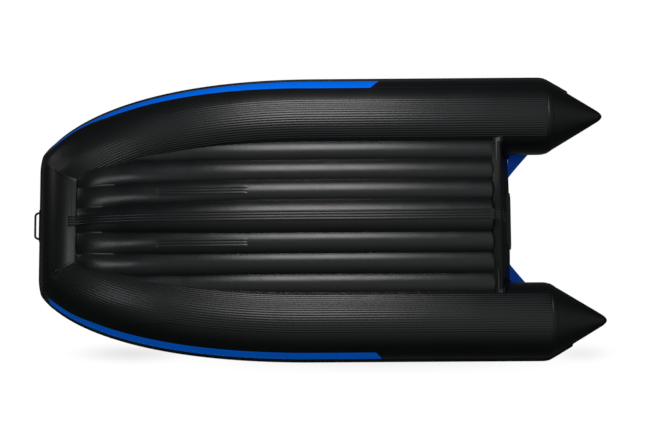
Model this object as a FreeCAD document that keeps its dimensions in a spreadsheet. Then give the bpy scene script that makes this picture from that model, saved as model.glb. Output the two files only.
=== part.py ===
"""Inflatable dinghy with an inflated, ribbed floor, as a parametric document in millimetres.

+X points to the bow, +Y to port and +Z up.  The origin lies under the middle of the hull,
on the ground that the keel and the two tubes stand on.
"""
import FreeCAD
import Part
import Sketcher
import math
import os
import re
from FreeCAD import Placement, Rotation, Vector

SIZES = {
    # whole hull
    "hull_length": 3400,
    "tube_radius": 225,
    "tube_offset": 604,
    "skin_gap": 0.3,
    "bend_gap": 0.4,
    "overrun": 40,
    # line of the side tubes from the straight run to the raised bow
    "bend_start": 11,
    "bend_run": 840,
    "nose_run": 112,
    "nose_straight": 120,
    "nose_yaw": 40.8,
    "nose_pitch": 27,
    "bow_half_width": 301.5,
    "bow_rise": 215,
    # tail cones
    "cone_length": 345,
    "cone_tip_radius": 27,
    "cone_tip_round": 20,
    # inflated floor
    "floor_crease_height": 46,
    "floor_top_crease": 108,
    "keel_half_width": 98,
    "floor_inset": 150,
    "rib_bulge": 31,
    "top_bulge": 22,
    "floor_tail": 1036,
    "floor_end_length": 70,
    "floor_front": 1412,
    # rubber strips under the hull
    "armour_thickness": 3,
    "armour_outer_angle": 20,
    "armour_inner_angle": 34,
    "keel_strip_width": 60,
    "strip_thickness": 4,
    "ridge_height": 2,
    "keel_lap": 56,
    "skid_start": 390,
    "skid_length": 535,
    "skid_offset": 153,
    "skid_width": 42,
    # rub rail and the bands beside it
    "rail_height": 90,
    "rail_thickness": 11,
    "rail_edge": 5,
    "rail_cone_run": 140,
    "band_thickness": 1.6,
    "band_gap": 2.5,
    "band_drop": 122,
    "band_nose_drop": 34,
    "stripe_tail": 383,
    "stripe_gap": 1,
    "stripe_slant": 45,
    # transom
    "transom_foot": 1080,
    "transom_foot_height": 50,
    "transom_rake": 12.3,
    "transom_height": 380,
    "holder_inset": 134,
    "transom_top_half": 200,
    "transom_shoulder": 45,
    "transom_thickness": 25,
    "holder_base": 6,
    "holder_flange": 24,
    "holder_thickness": 16,
    "apron_thickness": 3,
    "apron_top_drop": 22,
    "pad_width": 340,
    "pad_height": 190,
    "outer_pad_thickness": 6,
    "inner_pad_thickness": 6,
    "pad_corner_round": 45,
    "gusset_thickness": 4,
    "gusset_inner": 257,
    "gusset_length": 135,
    "gusset_reach": 45,
    "gusset_tilt": 12,
    # drain through the transom
    "drain_offset": 190,
    "drain_height": 150,
    "drain_bore_radius": 11,
    "drain_bush_radius": 14,
    "drain_flange_radius": 27,
    "drain_flange": 4,
    "bush_gap": 0.3,
    # seat tracks
    "track_tail": 900,
    "track_length": 900,
    "track_angle": 45,
    "track_base_angle": 14,
    "track_base": 2,
    "track_web": 4,
    "track_web_height": 12,
    "track_rope_radius": 4.5,
    # benches
    "bench_width": 220,
    "bench_end": 14,
    "bench_thickness": 25,
    "bench_corner_round": 20,
    "bench_front_place": 190,
    "bench_rear_place": 640,
    "clamp_radius": 10,
    "clamp_bore_gap": 1,
    "clamp_bite": 6,
    # rowlocks
    "rowlock_place": 450,
    "rowlock_base_radius": 46,
    "rowlock_base_height": 6,
    "rowlock_boss_radius": 17,
    "rowlock_boss_height": 30,
    "rowlock_pin_radius": 6,
    "rowlock_pin_gap": 0.1,
    "rowlock_pin_length": 26,
    "rowlock_lift": 0.5,
    "rowlock_collar_radius": 12,
    "rowlock_collar": 6,
    "rowlock_rod_radius": 6,
    "rowlock_mouth_radius": 32,
    "rowlock_horn": 38,
    # handles
    "handle_reach": 36,
    "handle_half_span": 82,
    "handle_bend": 24,
    "handle_rod_radius": 5,
    "handle_plate": 3,
    "handle_plate_height": 38,
    "handle_plate_overlap": 16,
    "grip_half_span": 80,
    "grip_rise": 34,
    "grip_width": 28,
    "grip_thickness": 6,
    "grip_pad_radius": 32,
    "grip_pad": 4,
    "grip_aft_place": 1235,
    # air valves
    "valve_flange_radius": 36,
    "valve_flange": 3,
    "valve_cap_radius": 25,
    "valve_cap_height": 10,
    "valve_place": 985,
    "valve_angle": 40,
    "bow_valve_offset": 140,
    "floor_valve_place": 940,
    "seat_depth": 6,
}

# sections of the floor as shares of its front half and of its tail, and how wide or full it is there
FLOOR_STATION_SHARES = (0.0, 0.04, 0.2, 0.34, 0.46, 0.57, 0.67, 0.76, 0.84, 0.91, 0.96, 1.0)
FLOOR_TAPER_SHARES = (1.0, 1.0, 0.99, 0.97, 0.95, 0.93, 0.91, 0.88, 0.86, 0.84, 0.82, 0.8)
TAIL_STATION_SHARES = (0.0, 0.06, 0.2, 0.5, 1.0, 1.4, 4.0)
TAIL_FULL_SHARES = (0.3, 0.6, 0.82, 0.96, 1.0, 1.0, 1.0)
# sections of the bands along the bend, and how a crowned band rises across its width
BEND_STATION_SHARES = (0.0, 0.03, 0.1, 0.2, 0.32, 0.45, 0.58, 0.7, 0.8, 0.88, 0.95)
NOSE_STATION_SHARES = (0.0, 0.5, 0.85)
CROWN_SHARES = ((0.0, 0.0), (0.25, 1.0), (0.75, 1.0), (1.0, 0.0))
GRIP_FORE_SHARE = 0.3
ARC_LEAST_SHARE = 0.2
RISE_HALVINGS = 40
RIB_COUNT = 3
KEEL_RIDGES = 4
SKID_RIDGES = 3
CONE_SECTIONS = 3
CORNER_SECTIONS = 12

doc = FreeCAD.newDocument("InflatableDinghy")
sheet = doc.addObject("Spreadsheet::Sheet", "Sizes")
for row, (alias, value) in enumerate(SIZES.items(), start=1):
    sheet.set(f"A{row}", alias.replace("_", " "))
    sheet.set(f"B{row}", str(value))
    sheet.setAlias(f"B{row}", alias)
doc.recompute()

NODES = {}
UP = Vector(0, 0, 1)
FORE = Vector(1, 0, 0)
PORT = Vector(0, 1, 0)


def size(alias):
    """Value of one named size, read from the sheet."""
    return float(getattr(sheet, alias))


def formula(text):
    """Expression text in which every alias is read from the sheet."""
    return re.sub(r"[a-z_]+", lambda m: f"Sizes.{m.group()}" if m.group() in SIZES else m.group(), text)


def bind(item, **formulas):
    """Tie properties of a document object to formulas of the named sizes."""
    for prop, text in formulas.items():
        item.setExpression(prop, formula(text))
    return item


def node(name, item):
    """Keep an object as the sub-part of this name."""
    item.Label = name
    NODES[name] = item
    return item


def cylinder(radius, height, base, direction):
    """Cylinder from a base point along a direction, its radius and height bound."""
    item = bind(doc.addObject("Part::Cylinder", "Cylinder"), Radius=radius, Height=height)
    item.Placement = Placement(base, Rotation(UP, direction))
    return item


def block(length, width, height, place):
    """Box with its three sides bound, set by a placement."""
    item = bind(doc.addObject("Part::Box", "Box"), Length=length, Width=width, Height=height)
    item.Placement = place
    return item


def ball(radius, centre):
    item = bind(doc.addObject("Part::Sphere", "Sphere"), Radius=radius)
    item.Placement = Placement(centre, Rotation())
    return item


def cut(base, tool):
    item = doc.addObject("Part::Cut", "Cut")
    item.Base = base
    item.Tool = tool
    return item


def common(first, second):
    item = doc.addObject("Part::Common", "Common")
    item.Base = first
    item.Tool = second
    return item


def fuse(*pieces):
    """One solid of several pieces, without the seams between them."""
    item = doc.addObject("Part::MultiFuse", "Fuse")
    item.Shapes = list(pieces)
    item.Refine = True
    return item


def mirrored(source):
    """Copy of an object on the other side of the centre plane."""
    item = doc.addObject("Part::Mirroring", "Mirror")
    item.Source = source
    item.Base = Vector(0, 0, 0)
    item.Normal = Vector(0, 1, 0)
    return item


def shaped(shape):
    """Feature that holds a shape made with the geometry kernel's own functions."""
    item = doc.addObject("Part::Feature", "Shape")
    item.Shape = shape
    return item


def both_sides(name, port_item):
    """Port sub-part and its mirror image to starboard."""
    node(name + "_port", port_item)
    node(name + "_starboard", mirrored(port_item))


def sketch_on(body, role):
    """Empty sketch on one of a body's own origin planes."""
    plane = next(f for f in body.Origin.OriginFeatures if f.Role == role)
    sketch = body.newObject("Sketcher::SketchObject", "Sketch")
    sketch.AttachmentSupport = [(plane, "")]
    sketch.MapMode = "FlatFace"
    return sketch


def polygon(sketch, corners):
    """Closed outline whose corners are pairs of formulas, each bound to the sheet."""
    count = len(corners)
    reach = size("tube_radius")
    rough = [Vector(reach * math.cos(2 * math.pi * i / count), reach * math.sin(2 * math.pi * i / count), 0)
             for i in range(count)]
    for i in range(count):
        sketch.addGeometry(Part.LineSegment(rough[i], rough[(i + 1) % count]), False)
    for i in range(count):
        sketch.addConstraint(Sketcher.Constraint("Coincident", i, 2, (i + 1) % count, 1))
    for i, (x, y) in enumerate(corners):
        for kind, text, value, axis in (("DistanceX", x, rough[i].x, -2), ("DistanceY", y, rough[i].y, -1)):
            if text == "0":
                sketch.addConstraint(Sketcher.Constraint("PointOnObject", i, 1, axis))
                continue
            which = sketch.addConstraint(Sketcher.Constraint(kind, -1, 1, i, 1, value))
            sketch.setExpression(f"Constraints[{which}]", formula(text))
    return sketch


def revolved(corners, role="XZ_Plane"):
    """Body turned about its vertical axis from an outline of radius and height pairs."""
    body = doc.addObject("PartDesign::Body", "Body")
    sketch = polygon(sketch_on(body, role), corners)
    turn = body.newObject("PartDesign::Revolution", "Revolution")
    turn.Profile = sketch
    turn.ReferenceAxis = (sketch, ["V_Axis"])
    turn.Angle = 360
    return body


def padded(role, corners, thickness):
    """Body made by padding an outline."""
    body = doc.addObject("PartDesign::Body", "Body")
    sketch = polygon(sketch_on(body, role), corners)
    pad = body.newObject("PartDesign::Pad", "Pad")
    pad.Profile = sketch
    pad.setExpression("Length", formula(thickness))
    doc.recompute()
    return body


def rounded(body, edge_test, radius):
    """Fillet on the edges of the body's tip that pass a test of their direction and middle."""
    tip = body.Tip
    names = [f"Edge{i}" for i, edge in enumerate(tip.Shape.Edges, start=1) if edge_test(edge)]
    fillet = body.newObject("PartDesign::Fillet", "Fillet")
    fillet.Base = (tip, names)
    fillet.setExpression("Radius", formula(radius))
    doc.recompute()
    return body


def runs_along(axis):
    """Test for straight edges that run along one axis of the body."""
    def test(edge):
        if len(edge.Vertexes) != 2 or edge.Curve.TypeId != "Part::GeomLine":
            return False
        way = edge.Vertexes[1].Point - edge.Vertexes[0].Point
        return abs(way.normalize().dot(axis)) > 0.999
    return test


R = size("tube_radius")
GAP = size("skin_gap")
SEAT = R + GAP
SEAT_RADIUS = "tube_radius + skin_gap"
TUBE_HEIGHT = SEAT + size("armour_thickness")
BOW_X = size("hull_length") / 2 - size("handle_reach") - size("rail_thickness") - SEAT
CONE_X = size("cone_length") - size("hull_length") / 2

# line of the port tube: straight from the cone, then bending in and up to the bow corner
yaw = math.radians(size("nose_yaw"))
pitch = math.radians(size("nose_pitch"))
nose_way = Vector(math.cos(yaw) * math.cos(pitch), -math.sin(yaw) * math.cos(pitch), math.sin(pitch))
tail = Vector(CONE_X, size("tube_offset"), TUBE_HEIGHT)
corner = Vector(BOW_X, size("bow_half_width"), TUBE_HEIGHT + size("bow_rise"))
far_corner = Vector(corner.x, -corner.y, corner.z)
bend_start = Vector(size("bend_start"), tail.y, tail.z)
bend_end = corner - nose_way * size("nose_straight")
bend = Part.BezierCurve()
bend.setPoles([bend_start, bend_start + FORE * size("bend_run"),
               bend_end - nose_way * size("nose_run"), bend_end])
tube_line = shaped(Part.Wire([Part.LineSegment(tail, bend_start).toShape(), bend.toShape(),
                              Part.LineSegment(bend_end, corner).toShape()]))


def rise_at(x):
    """Height that the tube's line has gained at a place along the hull."""
    if x <= bend_start.x:
        return 0.0
    if x >= bend_end.x:
        return bend_end.z - TUBE_HEIGHT + (x - bend_end.x) * nose_way.z / nose_way.x
    low, high = 0.0, 1.0
    for _ in range(RISE_HALVINGS):
        middle = (low + high) / 2
        if bend.value(middle).x < x:
            low = middle
        else:
            high = middle
    return bend.value(low).z - TUBE_HEIGHT


# tubes, mitred where the bow tube meets the side tubes
mitre_way = (nose_way - PORT).normalize()


def tube_sweep(radius):
    """Round sweep along the port tube's line."""
    ring = bind(doc.addObject("Part::Circle", "Ring"), Radius=radius)
    ring.Placement = Placement(tail, Rotation(UP, FORE))
    sweep = doc.addObject("Part::Sweep", "Sweep")
    sweep.Sections = [ring]
    sweep.Spine = (tube_line, ["Edge1", "Edge2", "Edge3"])
    sweep.Solid = True
    sweep.Frenet = False
    return sweep


def mitre_block(ahead):
    """Block that fills all that lies ahead of the port mitre plane, or all that lies behind it."""
    turn = Rotation(UP, mitre_way if ahead else -mitre_way)
    base = corner - turn.multVec(Vector(R * 3, R * 3, 0))
    return block("tube_radius * 6", "tube_radius * 6", "tube_radius * 3", Placement(base, turn))


side_run = fuse(tube_sweep("tube_radius"), ball("tube_radius", corner))
both_sides("tube", cut(side_run, mitre_block(True)))
bow_run = fuse(cylinder("tube_radius", "bow_half_width * 2", far_corner, PORT),
               ball("tube_radius", corner), ball("tube_radius", far_corner))
behind_port = mitre_block(False)
node("tube_bow", cut(cut(bow_run, behind_port), mirrored(behind_port)))

# seats: what lies against a tube is cut to these
line_seat = fuse(tube_sweep(SEAT_RADIUS), ball(SEAT_RADIUS, corner))
bow_seat = cylinder(SEAT_RADIUS, "bow_half_width * 2", far_corner, PORT)


def straight_seat(extra="0"):
    """Cylinder round the straight run of the port tube, some way off it."""
    return cylinder(f"{SEAT_RADIUS} + {extra}", "hull_length", tail - FORE * size("overrun"), FORE)


# tail cones
cone = revolved([("0", "0"), ("tube_radius", "0"), ("cone_tip_radius", "cone_length"),
                 ("0", "cone_length")])
doc.recompute()
rounded(cone, lambda edge: edge.BoundBox.ZMin > size("cone_length") / 2
        and edge.Curve.TypeId == "Part::GeomCircle", "cone_tip_round")
cone.Placement = Placement(tail, Rotation(UP, -FORE))
both_sides("cone", cone)


# sections of what is laid along a tube: centre, outward way, upward way and tube radius
def side_frame(point, way):
    """Section square to the tube's line, its outward way level."""
    out = way.cross(UP).normalize() * -1
    return point, out, way.cross(out), R


def cone_frame(share):
    """Upright section across the cone, a share of the way along the rail on it."""
    run = share * size("rail_cone_run")
    slope = (R - size("cone_tip_radius")) / size("cone_length")
    return tail - FORE * run, PORT, UP, R - slope * run


def corner_frame(share):
    """Section round the bow corner, square to the side tube at 0 and to the bow tube at 1."""
    turn = (math.pi / 2 - yaw) * (1 - share)
    lean = pitch * (1 - share)
    out = Vector(math.cos(turn), math.sin(turn), 0)
    return corner, out, UP * math.cos(lean) - out.cross(UP) * math.sin(lean), R


cone_frames = [cone_frame(1 - k / CONE_SECTIONS) for k in range(CONE_SECTIONS + 1)]
straight_frames = [side_frame(tail, FORE), side_frame(bend_start, FORE)]
bend_frames = [side_frame(bend.value(share), Vector(*bend.tangent(share)[0]))
               for share in BEND_STATION_SHARES]
bend_frames += [side_frame(bend_end + (corner - bend_end) * share, nose_way)
                for share in NOSE_STATION_SHARES]
corner_frames = [corner_frame(k / CORNER_SECTIONS) for k in range(CORNER_SECTIONS + 1)]
side_frames = bend_frames + corner_frames[:1]
centre_frame = (Vector(corner.x, 0, corner.z), FORE, UP, R)


def on_section(frame, angle, lift):
    """Point at an angle above the outermost line of a section, lifted off the tube's seat."""
    centre, out, up, radius = frame
    reach = radius + GAP + lift
    return centre + out * (reach * math.cos(angle)) + up * (reach * math.sin(angle))


def band_section(frame, low, high, profile, inner):
    """Closed section of a band between two angles.

    The profile lists how far up the band a point is, as a share, and its lift.
    Wide runs between its points follow the tube's roundness; inner is the lift of the glued side.
    """
    def at(share, lift):
        return on_section(frame, low + (high - low) * share, lift)

    edges = [Part.Arc(at(0, inner), at(0.5, inner), at(1, inner)).toShape()]
    points = [(1, inner)] + profile[::-1] + [(0, inner)]
    for (share, lift), (next_share, next_lift) in zip(points[:-1], points[1:]):
        if abs(share - next_share) < ARC_LEAST_SHARE:
            edges.append(Part.LineSegment(at(share, lift), at(next_share, next_lift)).toShape())
        else:
            middle = at((share + next_share) / 2, max(lift, next_lift))
            edges.append(Part.Arc(at(share, lift), middle, at(next_share, next_lift)).toShape())
    return Part.Wire(edges)


def band(frames, low, high, profile, smooth=False, inner=0.0):
    """Band through sections, its edges given as angles there."""
    wires = [band_section(frame, low(frame), high(frame), profile, inner) for frame in frames]
    return shaped(Part.makeLoft(wires, True, not smooth))


def level(thickness):
    """Profile of one thickness from edge to edge."""
    return [(0, thickness), (1, thickness)]


# rub rail along the outermost line, from the cones round the bow to the centre plane
def rail_top(frame):
    """Angle of the rail's upper edge."""
    return math.asin(size("rail_height") / 2 / frame[3])


def rail_low(frame):
    """Angle of the rail's lower edge."""
    return -rail_top(frame)


rail_profile = [(share, size("rail_edge") + (size("rail_thickness") - size("rail_edge")) * crown)
                for share, crown in CROWN_SHARES]
rail_aft = [band(frames, rail_low, rail_top, rail_profile) for frames in (cone_frames, straight_frames)]
rail_bend = band(side_frames, rail_low, rail_top, rail_profile, True, size("bend_gap"))
rail_corner = band(corner_frames + [centre_frame], rail_low, rail_top, rail_profile,
                   inner=size("bend_gap"))
both_sides("rub_rail", fuse(*rail_aft, rail_bend, rail_corner))


# coloured stripe under the rail, and the black band that carries on from it
def band_top(frame):
    """Angle of the band's upper edge, just under the rail."""
    return rail_low(frame) - size("band_gap") / frame[3]


def band_low(frame):
    """Angle of the band's lower edge."""
    return band_top(frame) - size("band_drop") / R


def stripe_low(frame):
    """Angle of the stripe's lower edge, which rises along the bend to the corner."""
    share = max(0.0, (frame[0].x - bend_start.x) / (corner.x - bend_start.x))
    drop = size("band_drop") + (size("band_nose_drop") - size("band_drop")) * share ** 2
    return band_top(frame) - drop / R


def slanted_block(x, ahead):
    """Block with a slanted side that crosses the tube's outermost line at x."""
    turn = Rotation(UP, size("stripe_slant"))
    outer = Vector(x, tail.y + R, 0)
    base = outer - turn.multVec(Vector(0 if ahead else size("hull_length"), size("hull_length") / 2, 0))
    return block("hull_length", "hull_length", "tube_radius * 2", Placement(base, turn))


band_profile = level(size("band_thickness"))
band_straight = band(straight_frames, band_low, band_top, band_profile)
stripe_bend = band(side_frames, stripe_low, band_top, band_profile, True, size("bend_gap"))
both_sides("stripe", fuse(cut(band_straight, slanted_block(-size("stripe_tail"), False)), stripe_bend))
band_cone = band(cone_frames, band_low, band_top, band_profile)
band_end = slanted_block(-size("stripe_tail") - size("stripe_gap"), True)
both_sides("rail_band", fuse(band_cone, cut(band_straight, band_end)))


# armour under the tubes
def armour_low(frame):
    """Angle of the armour's inner edge."""
    return -math.radians(90 + size("armour_inner_angle"))


def armour_top(frame):
    """Angle of the armour's outer edge."""
    return -math.radians(90 - size("armour_outer_angle"))


armour_profile = level(size("armour_thickness"))
armour_straight = band(straight_frames, armour_low, armour_top, armour_profile)
armour_bend = band(side_frames, armour_low, armour_top, armour_profile, True, size("bend_gap"))
both_sides("armour", fuse(armour_straight, cut(armour_bend, mitre_block(True))))

# inflated floor: a section of scallops, lofted along the hull and trimmed by the tubes
keel_bottom = GAP + size("strip_thickness")
rib_bottom = size("floor_crease_height") - size("rib_bulge")
floor_middle = (size("floor_crease_height") + size("floor_top_crease")) / 2
rib_pitch = (size("tube_offset") - size("floor_inset") - size("keel_half_width")) / RIB_COUNT


def tail_height(height, full):
    """Height of a point of the floor's section where its thickness is partly full."""
    return floor_middle + (height - floor_middle) * full


def floor_section(x, taper, full):
    """Closed outline of the floor at x, its width tapered and its thickness partly full."""
    low = size("floor_crease_height")
    high = size("floor_top_crease")
    widths = [(size("keel_half_width") + rib_pitch * k) * taper for k in range(RIB_COUNT + 1)]
    rim = [-width for width in reversed(widths)] + widths

    def at(y, z):
        return Vector(x, y, rise_at(x) + tail_height(z, full))

    def scallop(start, end, crease, crown):
        return Part.Arc(at(start, crease), at((start + end) / 2, crown), at(end, crease)).toShape()

    edges = []
    for left, right in zip(rim[:-1], rim[1:]):
        edges.append(scallop(left, right, low, keel_bottom if left < 0 < right else rib_bottom))
    edges.append(Part.LineSegment(at(rim[-1], low), at(rim[-1], high)).toShape())
    for right, left in zip(reversed(rim[1:]), reversed(rim[:-1])):
        edges.append(scallop(right, left, high, high + size("top_bulge")))
    edges.append(Part.LineSegment(at(rim[0], high), at(rim[0], low)).toShape())
    return Part.Wire(edges)


tail_stations = [share * size("floor_end_length") - size("floor_tail") for share in TAIL_STATION_SHARES]
floor_stations = [share * size("floor_front") for share in FLOOR_STATION_SHARES]
floor_sections = [floor_section(x, 1.0, full) for x, full in zip(tail_stations, TAIL_FULL_SHARES)]
floor_sections += [floor_section(x, taper, 1.0) for x, taper in zip(floor_stations, FLOOR_TAPER_SHARES)]
floor_raw = shaped(Part.makeLoft(floor_sections, True, False))
armour_seat = tube_sweep(f"{SEAT_RADIUS} + armour_thickness + skin_gap")
node("air_floor", cut(cut(cut(floor_raw, armour_seat), mirrored(armour_seat)), bow_seat))


# rubber strips under the floor, each a ridged section along the underside
def strip_section(width, ridges, start, down):
    """Strip section with fine ridges on its lower face, set across the hull at a point."""
    half = width / 2
    thick = size("strip_thickness") - size("ridge_height")
    step = width / (2 * ridges + 1)
    corners = [(-half, 0), (-half, thick)]
    for k in range(ridges):
        y = -half + step * (2 * k + 1)
        corners += [(y, thick), (y + step / 4, thick + size("ridge_height")),
                    (y + step * 3 / 4, thick + size("ridge_height")), (y + step, thick)]
    corners += [(half, thick), (half, 0)]
    points = [start + PORT * y + down * depth for y, depth in corners]
    return Part.makePolygon(points + points[:1])


def curved_line(points, first_way, last_way):
    """Smooth edge through points, with its directions at both ends."""
    curve = Part.BSplineCurve()
    curve.interpolate(points, InitialTangent=first_way, FinalTangent=last_way)
    return curve.toShape()


def strip_along(edges, width, ridges):
    """Solid of a ridged strip along edges that lie in a plane of constant y."""
    start = edges[0].valueAt(edges[0].FirstParameter)
    down = edges[0].tangentAt(edges[0].FirstParameter).cross(PORT)
    pipe = Part.BRepOffsetAPI.MakePipeShell(Part.Wire(edges))
    pipe.setBiNormalMode(PORT)
    pipe.add(strip_section(width, ridges, start, down * -1 if down.z > 0 else down))
    pipe.build()
    pipe.makeSolid()
    return shaped(pipe.shape())


def under_floor(x, height, y=0):
    """Point at a height of the level part, carried up with the rise of the hull."""
    return Vector(x, y, height + rise_at(x))


keel_tail = [Vector(x - size("bend_gap"), 0, tail_height(keel_bottom, full) - GAP)
             for x, share, full in zip(tail_stations[1:], TAIL_STATION_SHARES[1:], TAIL_FULL_SHARES[1:])
             if share <= 1]
keel_nose = [under_floor(x, keel_bottom - GAP) for x in floor_stations[1:] + [BOW_X]]
keel_edges = [curved_line(keel_tail, keel_tail[1] - keel_tail[0], FORE),
              Part.LineSegment(keel_tail[-1], keel_nose[0]).toShape(),
              curved_line(keel_nose, FORE, keel_nose[-1] - keel_nose[-2])]
keel_runs = [strip_along([edge], size("keel_strip_width"), KEEL_RIDGES) for edge in keel_edges]
lap_start = Vector(corner.x, -size("keel_strip_width") / 2, corner.z)
lap_sheet = cylinder(f"{SEAT_RADIUS} + strip_thickness", "keel_strip_width", lap_start, PORT)
lap_base = Vector(size("floor_front") + GAP, -size("keel_strip_width"), corner.z - R * 3 / 2)
lap_block = block("keel_lap", "keel_strip_width * 2", "tube_radius", Placement(lap_base, Rotation()))
node("keel_strip", cut(fuse(*keel_runs, common(lap_sheet, lap_block)), bow_seat))

# two short wear strips beside the keel
skid_last = size("skid_start") + size("skid_length")
skid_stations = [size("skid_start")] + [x for x in floor_stations if size("skid_start") < x < skid_last]
skid_points = [under_floor(x, rib_bottom - GAP, size("skid_offset")) for x in skid_stations + [skid_last]]
skid_line = curved_line(skid_points, skid_points[1] - skid_points[0], skid_points[-1] - skid_points[-2])
both_sides("skid_strip", strip_along([skid_line], size("skid_width"), SKID_RIDGES))

# transom, raked aft, and what is fixed to it
transom_place = Placement(Vector(-size("transom_foot"), 0, size("transom_foot_height")),
                          Rotation(PORT, -size("transom_rake")))
HALF_WIDTH = "(tube_offset - holder_inset)"
SHOULDER = "(transom_height - transom_shoulder)"


def on_transom(depth, item):
    """Set a piece on the transom, so far ahead of its aft face."""
    item.Placement = transom_place.multiply(Placement(FORE * depth, Rotation()))
    return item


def clear_of_tubes(item, extra):
    """Piece trimmed on both sides, some way off the tubes."""
    seat = straight_seat(extra)
    return cut(cut(item, seat), mirrored(seat))


def plate(half_width, low, high, thickness):
    """Upright plate across the hull."""
    return padded("YZ_Plane", [(f"-{half_width}", low), (half_width, low), (half_width, high),
                               (f"-{half_width}", high)], thickness)


board = on_transom(0, padded("YZ_Plane", [
    (f"-{HALF_WIDTH}", "0"), (HALF_WIDTH, "0"), (HALF_WIDTH, SHOULDER),
    ("transom_top_half", "transom_height"), ("-transom_top_half", "transom_height"),
    (f"-{HALF_WIDTH}", SHOULDER)], "transom_thickness"))
drain_way = transom_place.Rotation.multVec(-FORE)
drain_seat = transom_place.multVec(Vector(0, -size("drain_offset"), size("drain_height")))
drain_start = drain_seat - drain_way * (size("transom_thickness") + size("overrun"))


def drain_hole():
    """Round cutter for the drain bush."""
    return cylinder("drain_bush_radius + bush_gap", "transom_thickness + overrun * 2", drain_start,
                    drain_way)


node("transom", cut(clear_of_tubes(board, "holder_base"), drain_hole()))

# channels of moulded rubber that hold the board to the tubes
holder_block = block("transom_thickness + holder_thickness * 2", HALF_WIDTH, SHOULDER, Placement())
holder_slab = on_transom(-size("holder_thickness"), holder_block)
holder_core = on_transom(0, block("transom_thickness", HALF_WIDTH, "transom_height", Placement()))
holder_ring = cut(straight_seat("holder_flange"), straight_seat())
holder_slot = cut(holder_core, straight_seat("holder_base"))
both_sides("transom_holder", cut(common(holder_slab, holder_ring), holder_slot))


def motor_pad(thickness, depth):
    """Rounded plate that a motor's bracket bears on."""
    body = plate("(pad_width / 2)", "transom_height - pad_height", "transom_height", thickness)
    return on_transom(depth, rounded(body, runs_along(FORE), "pad_corner_round"))


node("motor_pad_inner", motor_pad("inner_pad_thickness", size("transom_thickness")))
outer_pad_depth = -size("apron_thickness") - size("outer_pad_thickness")
node("motor_pad_outer", motor_pad("outer_pad_thickness", outer_pad_depth))

# apron of floor fabric: down the transom's aft face and forward to the ends of the ribs
apron = on_transom(-size("apron_thickness"), plate(HALF_WIDTH, "0", f"{SHOULDER} - apron_top_drop",
                                                   "apron_thickness"))
apron_sheet = cut(clear_of_tubes(apron, "holder_flange + skin_gap"), drain_hole())
SOLE_LENGTH = "transom_foot - floor_tail - strip_thickness - skin_gap * 2"
RAKE_COSINE = "cos(transom_rake * 1deg)"
rake_cosine = math.cos(math.radians(size("transom_rake")))
fold = size("apron_thickness") * rake_cosine
strip_fold = (size("apron_thickness") + size("strip_thickness")) * rake_cosine
sole_height = size("transom_foot_height") - size("apron_thickness")
sole_base = Vector(-size("transom_foot") - fold, size("holder_inset") - size("tube_offset"), sole_height)
sole = block(f"{SOLE_LENGTH} + apron_thickness * {RAKE_COSINE}", f"{HALF_WIDTH} * 2", "apron_thickness",
             Placement(sole_base, Rotation()))
sole_strip_base = Vector(-size("transom_foot") - strip_fold, -size("keel_strip_width") / 2,
                         sole_height - size("strip_thickness"))
sole_strip = block(f"{SOLE_LENGTH} + (apron_thickness + strip_thickness) * {RAKE_COSINE}",
                   "keel_strip_width", "strip_thickness", Placement(sole_strip_base, Rotation()))
apron_strip = on_transom(-size("apron_thickness") - size("strip_thickness"),
                         plate("(keel_strip_width / 2)", "0", "transom_height - pad_height - skin_gap",
                               "strip_thickness"))
sole_sheet = clear_of_tubes(sole, "holder_flange + skin_gap")
node("stern_apron", fuse(apron_sheet, sole_sheet, apron_strip, sole_strip))

# drain bush, flanged on both faces
FACE = "(apron_thickness + drain_flange)"
bush = revolved([("drain_bore_radius", "-transom_thickness - drain_flange"),
                 ("drain_flange_radius", "-transom_thickness - drain_flange"),
                 ("drain_flange_radius", "-transom_thickness"), ("drain_bush_radius", "-transom_thickness"),
                 ("drain_bush_radius", "apron_thickness"), ("drain_flange_radius", "apron_thickness"),
                 ("drain_flange_radius", FACE), ("drain_bore_radius", FACE)])
bush.Placement = Placement(drain_seat, Rotation(UP, drain_way))
node("drain_bush", bush)

# coloured gussets between the transom's top corners and the tubes
gusset = padded("XY_Plane", [
    ("0", "gusset_inner"), ("0", HALF_WIDTH), ("-gusset_length", HALF_WIDTH),
    ("-gusset_length", "tube_offset - tube_radius + gusset_reach")], "gusset_thickness")
gusset_seat = Vector(-size("holder_thickness") - GAP, 0, size("transom_height") - size("transom_shoulder"))
gusset.Placement = Placement(transom_place.multVec(gusset_seat), Rotation(PORT, -size("gusset_tilt")))
both_sides("gusset", cut(gusset, straight_seat("skin_gap")))

# seat tracks: a glued base, a web and a bolt rope along each tube
lean = math.radians(size("track_angle"))
track_way = Vector(0, -math.sin(lean), math.cos(lean))
track_across = track_way.cross(FORE)
track_turn = Rotation(FORE, track_across, track_way, "ZXY")
track_start = Vector(-size("track_tail"), tail.y, tail.z)
rope_reach = SEAT + size("track_base") + size("track_web_height") + size("track_rope_radius")
rope_start = track_start + track_way * rope_reach
track_sleeve = cylinder(f"{SEAT_RADIUS} + track_base", "track_length", track_start, FORE)
track_ring = cut(track_sleeve, straight_seat())
wedge_half = R * math.tan(math.radians(size("track_base_angle") / 2))
wedge = block("track_length", "tube_radius * 2 * tan(track_base_angle / 2 * 1deg)", "tube_radius",
              Placement(track_start + track_way * (R / 2) - track_across * wedge_half, track_turn))
web = block("track_length", "track_web", "track_base + track_web_height + track_rope_radius",
            Placement(track_start + track_way * SEAT - track_across * (size("track_web") / 2), track_turn))
rope = cylinder("track_rope_radius", "track_length", rope_start, FORE)
both_sides("seat_track", fuse(common(track_ring, wedge), web, rope))

# benches that slide along the tracks
ROPE_REACH = f"({SEAT_RADIUS} + track_base + track_web_height + track_rope_radius)"
BENCH_HALF = f"(tube_offset - {ROPE_REACH} * sin(track_angle * 1deg) + bench_end)"


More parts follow.
